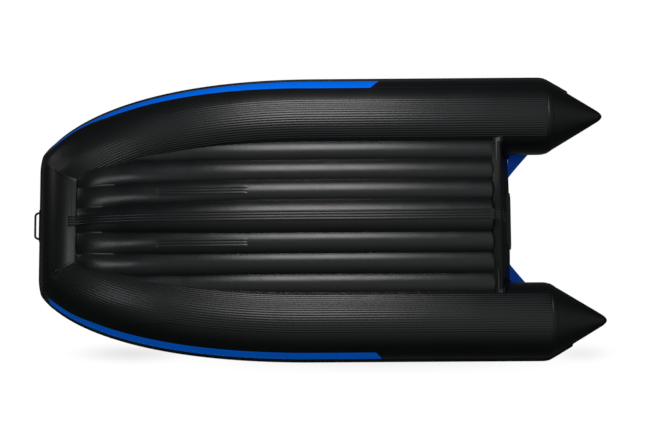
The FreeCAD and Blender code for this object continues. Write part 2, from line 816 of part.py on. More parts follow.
def bench(place):
    """Board across the tracks with a slotted clamp under each end."""
    bottom = rope_start.z + size("clamp_radius") - size("clamp_bite")
    board = padded("XY_Plane", [
        ("-bench_width / 2", f"-{BENCH_HALF}"), ("bench_width / 2", f"-{BENCH_HALF}"),
        ("bench_width / 2", BENCH_HALF), ("-bench_width / 2", BENCH_HALF)], "bench_thickness")
    rounded(board, runs_along(UP), "bench_corner_round")
    board.Placement = Placement(Vector(-place, 0, bottom), Rotation())
    clamp_tail = size("bench_corner_round") - size("bench_width") / 2 - place
    clamp_start = Vector(clamp_tail, rope_start.y, rope_start.z)
    clamp = cylinder("clamp_radius", "bench_width - bench_corner_round * 2", clamp_start, FORE)
    past = clamp_start - FORE * (size("overrun") + size("bench_corner_round"))
    bore = cylinder("track_rope_radius + clamp_bore_gap", "bench_width + overrun * 2", past, FORE)
    slot_half = size("track_web") / 2 + size("clamp_bore_gap")
    slot = block("bench_width + overrun * 2", "track_web + clamp_bore_gap * 2", "overrun",
                 Placement(past - track_across * slot_half - track_way * size("overrun"), track_turn))
    opening = fuse(bore, slot)
    return cut(cut(fuse(board, clamp, mirrored(clamp)), opening), mirrored(opening))


node("bench_front", bench(size("bench_front_place")))
node("bench_rear", bench(size("bench_rear_place")))

# rowlocks: a moulded base on top of each tube, and a forked swivel in it
tube_top = Vector(-size("rowlock_place"), tail.y, tail.z + SEAT)
BORE = "rowlock_pin_radius + rowlock_pin_gap"
base = revolved([(BORE, "-seat_depth"), ("rowlock_base_radius", "-seat_depth"),
                 ("rowlock_base_radius", "rowlock_base_height"),
                 ("rowlock_boss_radius", "rowlock_base_height * 2"),
                 ("rowlock_boss_radius", "rowlock_boss_height"), (BORE, "rowlock_boss_height")])
base.Placement = Placement(tube_top, Rotation())
both_sides("rowlock_base", cut(base, straight_seat()))
boss_top = tube_top + UP * (size("rowlock_boss_height") + size("rowlock_lift"))
pin = cylinder("rowlock_pin_radius", "rowlock_pin_length + rowlock_collar",
               boss_top - UP * size("rowlock_pin_length"), UP)
collar = cylinder("rowlock_collar_radius", "rowlock_collar", boss_top, UP)
fork_centre = boss_top + UP * (size("rowlock_collar") + size("rowlock_mouth_radius"))
fork = bind(doc.addObject("Part::Torus", "Fork"), Radius1="rowlock_mouth_radius",
            Radius2="rowlock_rod_radius")
fork.Angle3 = 180
fork.Placement = Placement(fork_centre, Rotation(FORE, -90))
horn_feet = [fork_centre + FORE * size("rowlock_mouth_radius"),
             fork_centre - FORE * size("rowlock_mouth_radius")]
horns = [cylinder("rowlock_rod_radius", "rowlock_horn", foot, UP) for foot in horn_feet]
horn_ends = [ball("rowlock_rod_radius", foot + UP * size("rowlock_horn")) for foot in horn_feet]
both_sides("rowlock", fuse(pin, collar, fork, *horns, *horn_ends))

# bow handle: a plate on the rail and a bent rod
rail_front = Vector(BOW_X + SEAT + size("rail_thickness"), 0, corner.z)
loop_out = size("handle_reach") - size("handle_rod_radius")
straight_out = loop_out - size("handle_bend")
straight_side = size("handle_half_span") - size("handle_bend")
bend_share = size("handle_bend") * math.sqrt(0.5)
port_half = [Vector(0, size("handle_half_span"), 0), Vector(straight_out, size("handle_half_span"), 0),
             Vector(straight_out + bend_share, straight_side + bend_share, 0),
             Vector(loop_out, straight_side, 0)]
port_half = [rail_front + point for point in port_half]
far_half = [Vector(point.x, -point.y, point.z) for point in port_half]
handle_line = shaped(Part.Wire([
    Part.LineSegment(port_half[0], port_half[1]).toShape(), Part.Arc(*port_half[1:]).toShape(),
    Part.LineSegment(port_half[3], far_half[3]).toShape(), Part.Arc(*far_half[:0:-1]).toShape(),
    Part.LineSegment(far_half[1], far_half[0]).toShape()]))
handle_ring = bind(doc.addObject("Part::Circle", "Ring"), Radius="handle_rod_radius")
handle_ring.Placement = Placement(port_half[0], Rotation(UP, FORE))
handle_rod = doc.addObject("Part::Sweep", "Sweep")
handle_rod.Sections = [handle_ring]
handle_rod.Spine = (handle_line, ["Edge1", "Edge2", "Edge3", "Edge4", "Edge5"])
handle_rod.Solid = True
plate_half = size("handle_half_span") + size("handle_plate_overlap")
plate_base = rail_front - Vector(0, plate_half, size("handle_plate_height") / 2) + FORE * GAP
handle_plate = block("handle_plate", "handle_half_span * 2 + handle_plate_overlap * 2",
                     "handle_plate_height", Placement(plate_base, Rotation()))
handle_room = block("skin_gap", "hull_length", "tube_radius",
                    Placement(rail_front - Vector(0, size("hull_length") / 2, R / 2), Rotation()))
node("bow_handle", fuse(cut(handle_rod, handle_room), handle_plate))


# carrying grips on top of the tubes
def arc_radius(half, rise):
    """Radius, as a formula and as a number, of an arc with this half span and rise."""
    return (f"(({half} * {half} + {rise} * {rise}) / ({rise} * 2))",
            (size(half) ** 2 + size(rise) ** 2) / (size(rise) * 2))


def grip(centre, way):
    """Arched strap on two round pads; way is the tube's run at that place."""
    out = way.cross(UP).normalize()
    up = out.cross(way)
    turn = Rotation(way, up.cross(way), up, "ZXY")
    place = Placement(centre + up * SEAT, turn)
    radius, drop = arc_radius("grip_half_span", "grip_rise")
    arch_start = place.multVec(Vector(0, -size("grip_width") / 2, size("grip_rise") - drop))
    outer = cylinder(f"{radius} + grip_thickness", "grip_width", arch_start, turn.multVec(PORT))
    inner = cylinder(radius, "grip_width", arch_start, turn.multVec(PORT))
    corner_point = Vector(-size("grip_half_span") * 2, -size("grip_width"), 0)
    above = block("grip_half_span * 4", "grip_width * 2", "grip_rise * 2",
                  place.multiply(Placement(corner_point, Rotation())))
    pads = [cylinder("grip_pad_radius", "seat_depth + grip_pad",
                     place.multVec(FORE * along - UP * size("seat_depth")), up)
            for along in (size("grip_half_span"), -size("grip_half_span"))]
    return fuse(common(cut(outer, inner), above), *pads)


aft_place = Vector(-size("grip_aft_place"), tail.y, tail.z)
both_sides("grip_aft", cut(grip(aft_place, FORE), straight_seat()))
fore_way = Vector(*bend.tangent(GRIP_FORE_SHARE)[0])
both_sides("grip_fore", cut(grip(bend.value(GRIP_FORE_SHARE), fore_way), line_seat))


# air valves
def valve(point, way):
    """Flanged valve with its cap, long enough below to be cut to its seat."""
    body = revolved([("0", "-seat_depth"), ("valve_flange_radius", "-seat_depth"),
                     ("valve_flange_radius", "valve_flange"), ("valve_cap_radius", "valve_flange * 1.5"),
                     ("valve_cap_radius", "valve_cap_height"), ("0", "valve_cap_height")])
    body.Placement = Placement(point, Rotation(UP, way))
    return body


tilt = math.radians(size("valve_angle"))
side_way = Vector(0, -math.cos(tilt), math.sin(tilt))
side_valve = valve(Vector(-size("valve_place"), tail.y, tail.z) + side_way * SEAT, side_way)
both_sides("valve", cut(side_valve, straight_seat()))
bow_way = Vector(-math.cos(tilt), 0, math.sin(tilt))
bow_valve = valve(Vector(corner.x, size("bow_valve_offset"), corner.z) + bow_way * SEAT, bow_way)
node("valve_bow", cut(bow_valve, bow_seat))
crown_formula, crown_radius = arc_radius("keel_half_width", "top_bulge")
crown_height = size("floor_top_crease") + size("top_bulge")
crown_seat = cylinder(f"{crown_formula} + skin_gap", "floor_tail",
                      Vector(-size("floor_tail"), 0, crown_height - crown_radius), FORE)
floor_valve = valve(Vector(-size("floor_valve_place"), 0, crown_height + GAP), UP)
node("valve_floor", cut(floor_valve, crown_seat))

doc.recompute()
for item in doc.Objects:
    if {"Invalid", "Error"} & set(item.State):
        raise RuntimeError(f"{item.Label} failed: {item.State}")
os.makedirs("parts", exist_ok=True)
for name, item in NODES.items():
    shape = item.Shape
    if shape.isNull() or not shape.isValid():
        raise RuntimeError(f"{name} has no valid shape")
    shape.exportStep(f"parts/{name}.step")
    print(f"{name:24s} solids {len(shape.Solids)}  faces {len(shape.Faces):4d}  "
          f"volume {shape.Volume / 1e6:9.3f} dm3")
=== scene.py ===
# %% [markdown]
# # Inflatable dinghy, seen from below
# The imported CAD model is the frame: metres, +X to the bow, +Y to port, +Z up. Its solids
# give the sizes, the joints and the hidden fittings. This script dresses them: the soft
# parts get finer skins, because cloth under air has shapes that solids draw too stiffly.
# Each cell adds one piece or one finish, and prints what it made.

# %% Tools and frame
import math

import bmesh
import bpy
import numpy as np
from mathutils import Matrix, Vector


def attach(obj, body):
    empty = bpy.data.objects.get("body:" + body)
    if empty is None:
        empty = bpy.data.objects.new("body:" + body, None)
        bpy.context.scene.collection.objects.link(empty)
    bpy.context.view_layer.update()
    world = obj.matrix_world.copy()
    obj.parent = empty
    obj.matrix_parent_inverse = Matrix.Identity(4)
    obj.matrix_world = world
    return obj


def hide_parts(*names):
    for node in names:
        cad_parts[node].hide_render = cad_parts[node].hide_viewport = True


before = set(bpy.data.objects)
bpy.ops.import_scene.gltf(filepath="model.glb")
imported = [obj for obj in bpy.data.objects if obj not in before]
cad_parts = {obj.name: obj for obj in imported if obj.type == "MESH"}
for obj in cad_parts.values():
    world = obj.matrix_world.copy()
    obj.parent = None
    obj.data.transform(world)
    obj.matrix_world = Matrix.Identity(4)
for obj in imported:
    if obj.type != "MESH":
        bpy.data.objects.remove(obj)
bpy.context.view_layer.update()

# %% [markdown]
# ## Camera
# The photograph looks square at the bottom of a boat that was stood on its side.
# Here the boat stays as it parks, so the camera goes below it and looks up.
# Its three small turns, its shift and its lens were fitted to outlines of the hull. A fit
# is surer than turning the view by hand, because a wrong angle shows in every outline.

# %% Camera
TURNS = (-0.128984, -0.012499, 0.005334)
SHIFT = Vector((-0.060341, 0.010644, -9.988492))
PHOTO_WIDTH, PHOTO_HEIGHT = 650, 433
FOCAL_PIXELS, SENSOR_WIDTH = 1732.871, 36
LENS = FOCAL_PIXELS / PHOTO_WIDTH * SENSOR_WIDTH

small_turns = (Matrix.Rotation(TURNS[0], 3, "X") @ Matrix.Rotation(TURNS[1], 3, "Y")
               @ Matrix.Rotation(TURNS[2], 3, "Z"))
from_world = small_turns @ Matrix.Diagonal((-1, 1, -1))
camera_data = bpy.data.cameras.new("camera")
camera_data.lens = LENS
camera_data.clip_end = 100
camera = bpy.data.objects.new("camera", camera_data)
bpy.context.scene.collection.objects.link(camera)
to_world = from_world.transposed()
camera.matrix_world = Matrix.Translation(-(to_world @ SHIFT)) @ to_world.to_4x4()
bpy.context.scene.camera = camera
print("camera at", tuple(round(v, 3) for v in camera.matrix_world.translation))

# %% [markdown]
# ## Line of the tubes
# A boat like this is two long tubes and a short one across the bow. The long ones run
# straight, then bend in and up. The bend is a Bezier curve, as in the CAD, but its end is
# fitted to the photograph's outline. All skins and bands read this one line, so they stay
# together. A section is square to the line, and its angle 0 points straight outboard.

# %% Tube line
RADIUS = 0.225
TUBE_HEIGHT = 0.2283
TAIL = np.array((-1.355, 0.604, TUBE_HEIGHT))
BEND_START = np.array((0.011, 0.604, TUBE_HEIGHT))
CORNER = np.array((1.4277, 0.3173, TUBE_HEIGHT + 0.215))
NOSE_YAW, NOSE_PITCH = math.radians(35.8), math.radians(27)
NOSE_STRAIGHT, FORE_HANDLE, NOSE_HANDLE = 0.0356, 0.87, 0.185
NOSE_WAY = np.array((math.cos(NOSE_YAW) * math.cos(NOSE_PITCH),
                     -math.sin(NOSE_YAW) * math.cos(NOSE_PITCH), math.sin(NOSE_PITCH)))
FORE, PORT, UP = np.eye(3)


def bezier(poles, t):
    """Cubic curve: the four poles weighted by the binomial terms of t and 1 - t."""
    t = t[:, None]
    weights = ((1 - t) ** 3, 3 * t * (1 - t) ** 2, 3 * t ** 2 * (1 - t), t ** 3)
    return sum(weight * np.array(pole) for weight, pole in zip(weights, poles))


def unit(vectors):
    """Each vector divided by its length."""
    return vectors / np.linalg.norm(vectors, axis=-1, keepdims=True)


bend_end = CORNER - NOSE_WAY * NOSE_STRAIGHT
bend = bezier([BEND_START, BEND_START + FORE * FORE_HANDLE, bend_end - NOSE_WAY * NOSE_HANDLE, bend_end],
              np.linspace(0, 1, 900))
line = np.vstack([np.linspace(TAIL, BEND_START, 900)[:-1], bend, np.linspace(bend_end, CORNER, 90)[1:]])
line_run = np.concatenate([[0], np.cumsum(np.linalg.norm(np.diff(line, axis=0), axis=1))])
LENGTH = line_run[-1]


def on_line(run):
    """Point of the line at a run from its tail: each coordinate read between close points."""
    return np.stack([np.interp(run, line_run, line[:, axis]) for axis in range(3)], axis=-1)


def along(run):
    """Point of the line at a run, and its way ahead, outward way and upward way there.

    The outward way is level and square to the line, and the upward way is square to both.
    """
    step = 0.003
    run = np.clip(run, 0, LENGTH)
    way = unit(on_line(np.minimum(run + step, LENGTH)) - on_line(np.maximum(run - step, 0)))
    out = unit(np.cross(UP, way))
    return on_line(run), way, out, np.cross(way, out)


def run_at(x):
    """Run of the line where it passes a place along the hull, read between its points."""
    return np.interp(x, line[:, 0], line_run)


def rise_at(x):
    """Height of the line at a place along the hull, less its height at the stern."""
    return np.interp(x, line[:, 0], line[:, 2]) - TUBE_HEIGHT


print("tube line", round(float(LENGTH), 3), "m long")

# %% [markdown]
# ## Radius of the tubes
# A cone closes each tube at the stern. Air rounds its seam and its tip, so a plain cone
# would look too hard. A table of radii gives the shape, and a running mean softens it,
# except at the small tip, which a mean would blunt.

# %% Cone radius
CONE_LENGTH, TIP_RUN, MEAN_WINDOW = 0.345, -0.31, 29
TAIL_RUN = -np.array((CONE_LENGTH, 0.344, 0.341, 0.335, 0.325, 0.31, 0.278, 0.231, 0.19,
                      0.131, 0.072, 0.02, 0.01, 0.0, -0.01, -0.03, -0.1))
TAIL_RADIUS = np.array((0.003, 0.008, 0.0125, 0.0195, 0.0285, 0.038, 0.0575, 0.086, 0.1105,
                        0.146, 0.1815, 0.212, 0.2168, 0.2205, 0.2232, 0.2248, RADIUS))
fine_run = np.linspace(-CONE_LENGTH, 0.1, 900)
fine_radius = np.interp(fine_run, TAIL_RUN, TAIL_RADIUS)
padded_radius = np.pad(fine_radius, MEAN_WINDOW // 2, mode="edge")
soft_radius = np.convolve(padded_radius, np.ones(MEAN_WINDOW) / MEAN_WINDOW, mode="valid")
fine_radius = np.where(fine_run < TIP_RUN, fine_radius, soft_radius)


def radius_at(run):
    """Radius of the tube at a run, read between the softened table's points.

    It is full ahead of the table, and at the tip's own value behind it.
    """
    return np.interp(run, fine_run, fine_radius)


print("radius at the cone's seam", round(float(radius_at(0.0)), 4))

# %% [markdown]
# ## Meshes from grids
# Every new piece is a grid of points: rows along it and columns round its section.
# The columns wrap, so the section is closed, and a face at each end closes the piece.
# The grid's own measures become its UV map, so the weave follows the cloth. Modelling
# by hand would work too, but a formula keeps every piece true to the tube's line.

# %% Grid to piece
def flat_faces(rows, columns, wrap):
    """Corners of a grid's faces as rows and columns: (r, c), (r, c+1), (r+1, c+1), (r+1, c).

    They aren't wrapped yet, so a closing face keeps its true place on the UV map. The last
    row has faces of its own only where the rows wrap.
    """
    row, column = np.meshgrid(np.arange(rows if wrap else rows - 1), np.arange(columns), indexing="ij")
    row, column = row.ravel(), column.ravel()
    return (np.stack([row, row, row + 1, row + 1], axis=1),
            np.stack([column, column + 1, column + 1, column], axis=1))


def piece_from_grid(name, points, sizes=None, wrap=False, body="hull", replaces=(), finish=None, slot=None,
                    sharp=35):
    """Closed piece from points[row, column]: columns wrap, and rows wrap or are capped.

    A point's number is its row times the columns plus its column. A UV place is the length
    walked along the rows and round the columns, at the widest row and column.
    """
    rows, columns = points.shape[:2]
    row, column = flat_faces(rows, columns, wrap)
    faces = ((row % rows) * columns + column % columns).tolist()
    if not wrap:
        faces += [list(range(columns)), list(range((rows - 1) * columns, rows * columns))]
    mesh = bpy.data.meshes.new(name)
    mesh.from_pydata(points.reshape(-1, 3).tolist(), [], faces)
    if sizes is None:
        around = np.linalg.norm(np.diff(points, axis=1, append=points[:, :1]), axis=2).max(axis=0)
        ahead = np.linalg.norm(np.diff(points, axis=0, append=points[:1]), axis=2).max(axis=1)
        sizes = np.concatenate([[0], np.cumsum(ahead)]), np.concatenate([[0], np.cumsum(around)])
    uv = np.zeros((len(mesh.loops), 2))
    uv[:row.size, 0] = sizes[0][row].ravel()
    uv[:row.size, 1] = sizes[1][column].ravel()
    mesh.uv_layers.new(name="cloth").data.foreach_set("uv", uv.ravel())
    shell = bmesh.new()
    shell.from_mesh(mesh)
    bmesh.ops.recalc_face_normals(shell, faces=shell.faces)
    shell.to_mesh(mesh)
    shell.free()
    mesh.shade_smooth()
    mesh.set_sharp_from_angle(angle=math.radians(sharp))
    piece = bpy.data.objects.new(name, mesh)
    bpy.context.scene.collection.objects.link(piece)
    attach(piece, body)
    if replaces:
        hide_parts(*replaces)
    if finish:
        mesh.materials.append(finish)
    return piece


def pair(name, points, replaces=None, **others):
    """A port piece and its mirror image to starboard, whose y is minus the port one's."""
    made = []
    for side, flip in (("port", 1), ("starboard", -1)):
        nodes = (f"{replaces}_{side}",) if replaces else ()
        made.append(piece_from_grid(f"{name}_{side}", points * (1, flip, 1), replaces=nodes, **others))
    return made


print("grid helpers", piece_from_grid.__name__, pair.__name__)

# %% [markdown]
# ## Finishes
# The hull is cloth under a black plastic coat. The coat is smooth, with a faint weave
# showing through, and a long slack wave that breaks up the highlights. Noise drives the
# shade and the roughness, and waves on the UV map make the weave, so nothing is painted.

# %% Material helper
def new_finish(name, colour, roughness, weave=0.0, weave_size=0.004, slack=0.0, slack_size=0.12,
               spread=0.08, specular=0.5, tint=0.15, glow=0.0):
    """Shader whose colour, roughness and relief come from noise and woven waves.

    Colour runs from (1 - tint) to (1 + tint) times its own value, roughness from spread
    under to spread over it, and the weave is the higher of two crossed waves.
    """
    material = bpy.data.materials.new(name)
    material.use_nodes = True
    nodes, links = material.node_tree.nodes, material.node_tree.links
    shader = nodes["Principled BSDF"]
    shader.inputs["Specular IOR Level"].default_value = specular
    shader.inputs["Emission Color"].default_value = (*colour, 1)
    shader.inputs["Emission Strength"].default_value = glow
    place = nodes.new("ShaderNodeTexCoord")

    def noise(size, detail):
        """Noise with spots of about this size in metres, fixed to the piece."""
        item = nodes.new("ShaderNodeTexNoise")
        item.inputs["Scale"].default_value = 1 / size
        item.inputs["Detail"].default_value = detail
        links.new(place.outputs["Object"], item.inputs["Vector"])
        return item.outputs["Fac"]

    wear = noise(slack_size * 1.7, 4)
    ramp = nodes.new("ShaderNodeMapRange")
    ramp.inputs["To Min"].default_value = roughness - spread
    ramp.inputs["To Max"].default_value = roughness + spread
    links.new(wear, ramp.inputs["Value"])
    links.new(ramp.outputs["Result"], shader.inputs["Roughness"])
    shade = nodes.new("ShaderNodeMix")
    shade.data_type = "RGBA"
    shade.inputs[6].default_value = (*[c * (1 - tint) for c in colour], 1)
    shade.inputs[7].default_value = (*[min(1, c * (1 + tint)) for c in colour], 1)
    links.new(noise(0.02, 6), shade.inputs[0])
    links.new(shade.outputs[2], shader.inputs["Base Color"])
    normal = None
    if slack:
        bump = nodes.new("ShaderNodeBump")
        bump.inputs["Strength"].default_value = 1
        bump.inputs["Distance"].default_value = slack
        links.new(noise(slack_size, 2), bump.inputs["Height"])
        normal = bump.outputs["Normal"]
    if weave:
        heights = []
        for way in ("X", "Y"):
            wave = nodes.new("ShaderNodeTexWave")
            wave.bands_direction = way
            wave.inputs["Scale"].default_value = math.pi / 10 / weave_size
            links.new(place.outputs["UV"], wave.inputs["Vector"])
            heights.append(wave.outputs["Fac"])
        both = nodes.new("ShaderNodeMath")
        both.operation = "MAXIMUM"
        links.new(heights[0], both.inputs[0])
        links.new(heights[1], both.inputs[1])
        bump = nodes.new("ShaderNodeBump")
        bump.inputs["Distance"].default_value = weave
        links.new(both.outputs["Value"], bump.inputs["Height"])
        if normal:
            links.new(normal, bump.inputs["Normal"])
        normal = bump.outputs["Normal"]
    if normal:
        links.new(normal, shader.inputs["Normal"])
    return material


print("finish helper", new_finish.__name__)

# %% [markdown]
# ## The boat's own finishes
# Coated cloth, moulded rubber and board are all nearly black here, so what tells them
# apart is gloss. The blue cloth glows faintly, because the photograph shows it as bright
# blue even on the side that turns away from the light.

# %% Finishes
BLACK_COAT = (0.0045, 0.005, 0.0055)
TUBE_CLOTH = new_finish("tube_cloth", BLACK_COAT, 0.33, weave=0.00005, slack=0.0005)
FLOOR_CLOTH = new_finish("floor_cloth", BLACK_COAT, 0.31, weave=0.00005, slack=0.0006, slack_size=0.07)
RIDGED_RUBBER = new_finish("ridged_rubber_finish", (0.005, 0.0055, 0.006), 0.33, slack=0.0003)
RAIL_RUBBER = new_finish("rail_rubber_finish", (0.006, 0.006, 0.006), 0.4, slack=0.0003, specular=0.3)
BLUE_CLOTH = new_finish("blue_cloth", (0.0, 0.11, 0.63), 0.5, weave=0.00004, tint=0.06,
                        specular=0.04, glow=0.28)
# The gusset cloth's faint glow is painted light, as the blue cloth's is.
GUSSET_CLOTH = new_finish("gusset_cloth", (0.0, 0.07, 0.5), 0.3, weave=0.00004, slack=0.003,
                          slack_size=0.05, specular=0.08, glow=0.08)
BOARD = new_finish("board_skin", (0.012, 0.0125, 0.013), 0.45, slack=0.0003, slack_size=0.03)
HOLDER_RUBBER = new_finish("holder_skin", (0.008, 0.008, 0.009), 0.6, slack=0.0003, specular=0.1)
APRON_CLOTH = new_finish("apron_cloth", (0.006, 0.0065, 0.007), 0.45, slack=0.0006, slack_size=0.07,
                         specular=0.16)
LIGHT_GREY_STRIP = new_finish("light_grey_strip", (0.30, 0.31, 0.31), 0.5, slack=0.0003)
PLASTIC = new_finish("plastic_skin", (0.010, 0.010, 0.011), 0.36, slack=0.0001, slack_size=0.01)
BENCH_BOARD = new_finish("bench_skin", (0.30, 0.31, 0.32), 0.4, slack=0.0002, slack_size=0.05)
ROWLOCK_PLASTIC = new_finish("rowlock_skin", (0.015, 0.015, 0.016), 0.38, slack=0.0001, slack_size=0.01)
VALVE_PLASTIC = new_finish("valve_skin", (0.015, 0.015, 0.017), 0.38, slack=0.0001, slack_size=0.01)
FINISHES = {"tube_fabric": TUBE_CLOTH, "floor_fabric": FLOOR_CLOTH, "ridged_rubber": RIDGED_RUBBER,
            "rail_rubber": RAIL_RUBBER, "blue_fabric": BLUE_CLOTH, "transom_board": BOARD,
            "holder_rubber": HOLDER_RUBBER, "moulded_plastic": PLASTIC, "bench_board": BENCH_BOARD,
            "rowlock_plastic": ROWLOCK_PLASTIC, "valve_plastic": VALVE_PLASTIC}
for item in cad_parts.values():
    for place in item.material_slots:
        place.material = FINISHES[place.material.name.split(".")[0]]
print("finishes", sorted(FINISHES))

# %% [markdown]
# ## Skins of the tubes
# A section of the side tube stays round all the way. At the corner the tube is cut at a
# mitre: its inner side stops early, and its outer side goes on over a ball. A pipe with a
# bevel would fold over itself at such a tight bend, so the mitre is worked out instead.

# %% Side tubes
AROUND = 144
MITRE_ROOM = 0.15
SQUARENESS = 0.33
mitre = unit(NOSE_WAY - PORT)


def smooth_step(value, start, run):
    """Share s of the way through a run, eased at both ends: 3 s^2 - 2 s^3."""
    share = np.clip((value - start) / run, 0, 1)
    return share ** 2 * (3 - 2 * share)


def corner_reach(past):
    """How far the corner stands out, in radii, where the way has turned by an angle.

    It is the angle's cosine to the power of minus SQUARENESS: 0 gives a ball, 1 a sharp edge.
    """
    return np.cos(past) ** -SQUARENESS


def side_skin(run, angle, lift=0.0):
    """Point of the side tube: centre + (radius + lift) * (out * cos + up * sin) of the angle.

    Past the corner's centre the way ahead turns round a ball: the radial part shrinks with
    the cosine of the run past it over the radius, and the way ahead grows with its sine.
    """
    run, angle, lift = np.broadcast_arrays(run, angle, lift)
    centre, way, out, up = along(run.ravel())
    past = np.maximum(run.ravel() - LENGTH, 0) / RADIUS
    radial = out * np.cos(angle.ravel())[:, None] + up * np.sin(angle.ravel())[:, None]
    turned = (radial * np.cos(past)[:, None] + way * np.sin(past)[:, None]) * corner_reach(past)[:, None]
    return (centre + turned * (radius_at(run.ravel()) + lift.ravel())[:, None]).reshape(*run.shape, 3)


def side_end(angle):
    """Run at which the side tube's skin meets the mitre, for angles round it.

    On the inner side it is a cylinder cut by a plane: minus the radius times how far the
    radial way faces along the plane's normal, over the slope of the way. On the outer side
    it is the same ratio's arctangent, because the skin goes on over a ball.
    """
    _, way, out, up = along(np.array([LENGTH]))
    facing = np.outer(np.cos(angle), out[0]) @ mitre + np.outer(np.sin(angle), up[0]) @ mitre
    slope = way[0] @ mitre
    return LENGTH + np.where(facing > 0, -RADIUS * facing / slope, RADIUS * np.arctan(-facing / slope))


def to_end(shared, ends, rows=14):
    """Grid of runs: the shared rows, then even steps from the last one to each column's end."""
    spread = np.linspace(0, 1, rows + 1)[1:, None]
    last = shared[-1] + (ends[None, :] - shared[-1]) * spread
    return np.vstack([np.repeat(shared[:, None], ends.size, axis=1), last])


ring = np.linspace(0, 2 * math.pi, AROUND, endpoint=False)
SEAM_ROOM = 0.05
tail_runs = np.linspace(0, SEAM_ROOM, 13)[:-1]
shared_runs = np.concatenate([tail_runs, np.linspace(SEAM_ROOM, LENGTH - MITRE_ROOM, 146)])
side_runs = to_end(shared_runs, side_end(ring))
side_sizes = side_runs[:, 0], np.linspace(0, 2 * math.pi * RADIUS, AROUND + 1)
side_tubes = pair("tube_skin", side_skin(side_runs, ring[None, :]), "tube", sizes=side_sizes,
                  finish=TUBE_CLOTH, slot="tube_fabric")
print("side tubes", len(side_tubes))

# %% [markdown]
# ## Cones
# The cones let the water leave the tubes cleanly. They are turned shapes, so a screw
# modifier could make them. Here they are the ring of the tube's tail, scaled by the radius
# at each run, so that they share its columns and meet it without a step. The rows lie
# close at the seam and at the tip, where the shape turns quickly.

# %% Cones
cone_runs = np.concatenate([-tail_runs, np.linspace(-SEAM_ROOM, -0.3, 20),
                            np.linspace(-0.305, -CONE_LENGTH, 14)])
cone_ring = PORT * np.cos(ring)[:, None] + UP * np.sin(ring)[:, None]
cone_points = TAIL + FORE * cone_runs[:, None, None] + cone_ring * radius_at(cone_runs)[:, None, None]
cones = pair("cone_skin", cone_points, "cone", finish=TUBE_CLOTH, slot="tube_fabric")
print("cones", len(cones))

# %% [markdown]
# ## Bow tube
# The short tube across the bow is made once, from its middle to the port mitre, and its
# mirror image gives the other half. Both halves are one piece, so there is no middle seam.

# %% Bow tube
def bow_skin(run, angle, lift=0.0):
    """Point of the bow tube's port half: a run from the middle, an angle from ahead to up.

    It is centre + (radius + lift) * (ahead * cos + up * sin), and past the corner's centre
    the way to port turns round the same ball as the side tube's.
    """
    run, angle, lift = np.broadcast_arrays(run, angle, lift)
    level = np.minimum(run, CORNER[1])[..., None]
    past = (np.maximum(run - CORNER[1], 0) / RADIUS)[..., None]
    radial = FORE * np.cos(angle)[..., None] + UP * np.sin(angle)[..., None]
    centre = CORNER * (1, 0, 1) + PORT * level
    reach = (RADIUS + lift)[..., None] * corner_reach(past)
    return centre + (radial * np.cos(past) + PORT * np.sin(past)) * reach


def bow_end(angle):
    """Run from the middle at which the bow tube's skin meets the mitre, as in side_end."""
    facing = np.outer(np.cos(angle), FORE) @ mitre + np.outer(np.sin(angle), UP) @ mitre
    slope = -PORT @ mitre
    return CORNER[1] + np.where(facing < 0, RADIUS * facing / slope, RADIUS * np.arctan(facing / slope))


bow_runs = to_end(np.linspace(0, CORNER[1] - MITRE_ROOM, 14), bow_end(ring))
bow_half = bow_skin(bow_runs, ring[None, :])
bow_points = np.vstack([(bow_half * (1, -1, 1))[:0:-1], bow_half])
bow_tube = piece_from_grid("bow_skin", bow_points, replaces=("tube_bow",), finish=TUBE_CLOTH,
                           slot="tube_fabric")
print("bow tube", bow_tube.name)

# %% [markdown]
# ## Bands glued on the tubes
# Tapes, stripes, the armour and the rub rail are all one idea: a thin closed section,
# carried along the tube between two angles, and lifted a little off the skin. Cutting
# them out of the tube with booleans would leave ragged edges on such long shapes.

# %% Carried bands
GLUE = 0.0003
CORNER_TURN = math.pi / 2 - NOSE_YAW
CORNER_RUN = RADIUS * CORNER_TURN
BOW_RUN = LENGTH + CORNER_RUN


def rail_skin(run, angle, lift=0.0):
    """Point of the outer side at a run: on the cone, the side tube, the corner or the bow.

    Round the corner the outward way turns level from the side's to straight ahead, and the
    upward way stands up by as much as the side tube's pitch.
    """
    run, angle, lift = np.broadcast_arrays(run, angle, lift)
    flat = run.ravel()
    centre, _, out, up = along(flat)
    radius = radius_at(flat)
    centre = centre + FORE * np.minimum(flat, 0)[:, None]
    share = np.clip((flat - LENGTH) / CORNER_RUN, 0, 1)[:, None]
    turn, lean = CORNER_TURN * (1 - share), NOSE_PITCH * (1 - share)
    corner_out = FORE * np.cos(turn) + PORT * np.sin(turn)
    corner_up = UP * np.cos(lean) - np.cross(corner_out, UP) * np.sin(lean)
    radius = radius * corner_reach(np.minimum(share, 1 - share)[:, 0] * CORNER_TURN)
    turning = (flat > LENGTH)[:, None]
    out, up = np.where(turning, corner_out, out), np.where(turning, corner_up, up)
    centre = centre - PORT * np.maximum(flat - BOW_RUN, 0)[:, None]
    reach = (radius + GLUE + lift.ravel())[:, None]
    return (centre + (out * np.cos(angle.ravel())[:, None] + up * np.sin(angle.ravel())[:, None]) * reach
            ).reshape(*run.shape, 3)


def thin_section(count, height, edge=0.1, under=0.0):
    """Section of a thin band as (share of its width, lift): flat, with rounded edges.

    Near an edge the lift is the height times a quarter circle: sqrt(1 - (1 - n)^2), where n
    is how far in the place lies, over the edge's own width.
    """
    top = np.linspace(0, 1, count)
    near = np.minimum(np.minimum(top, 1 - top) / edge, 1)
    lift = height * np.sqrt(1 - (1 - near) ** 2)
    return np.vstack([np.stack([top, lift], axis=1), [(0.98, under), (0.5, under), (0.02, under)]])


def carried(section, runs, low, high, skin):
    """Points of a band: each column of the section at low + (high - low) * its share."""
    angle = low(runs) + (high(runs) - low(runs)) * section[None, :, 0]
    return skin(runs, angle, section[None, :, 1])


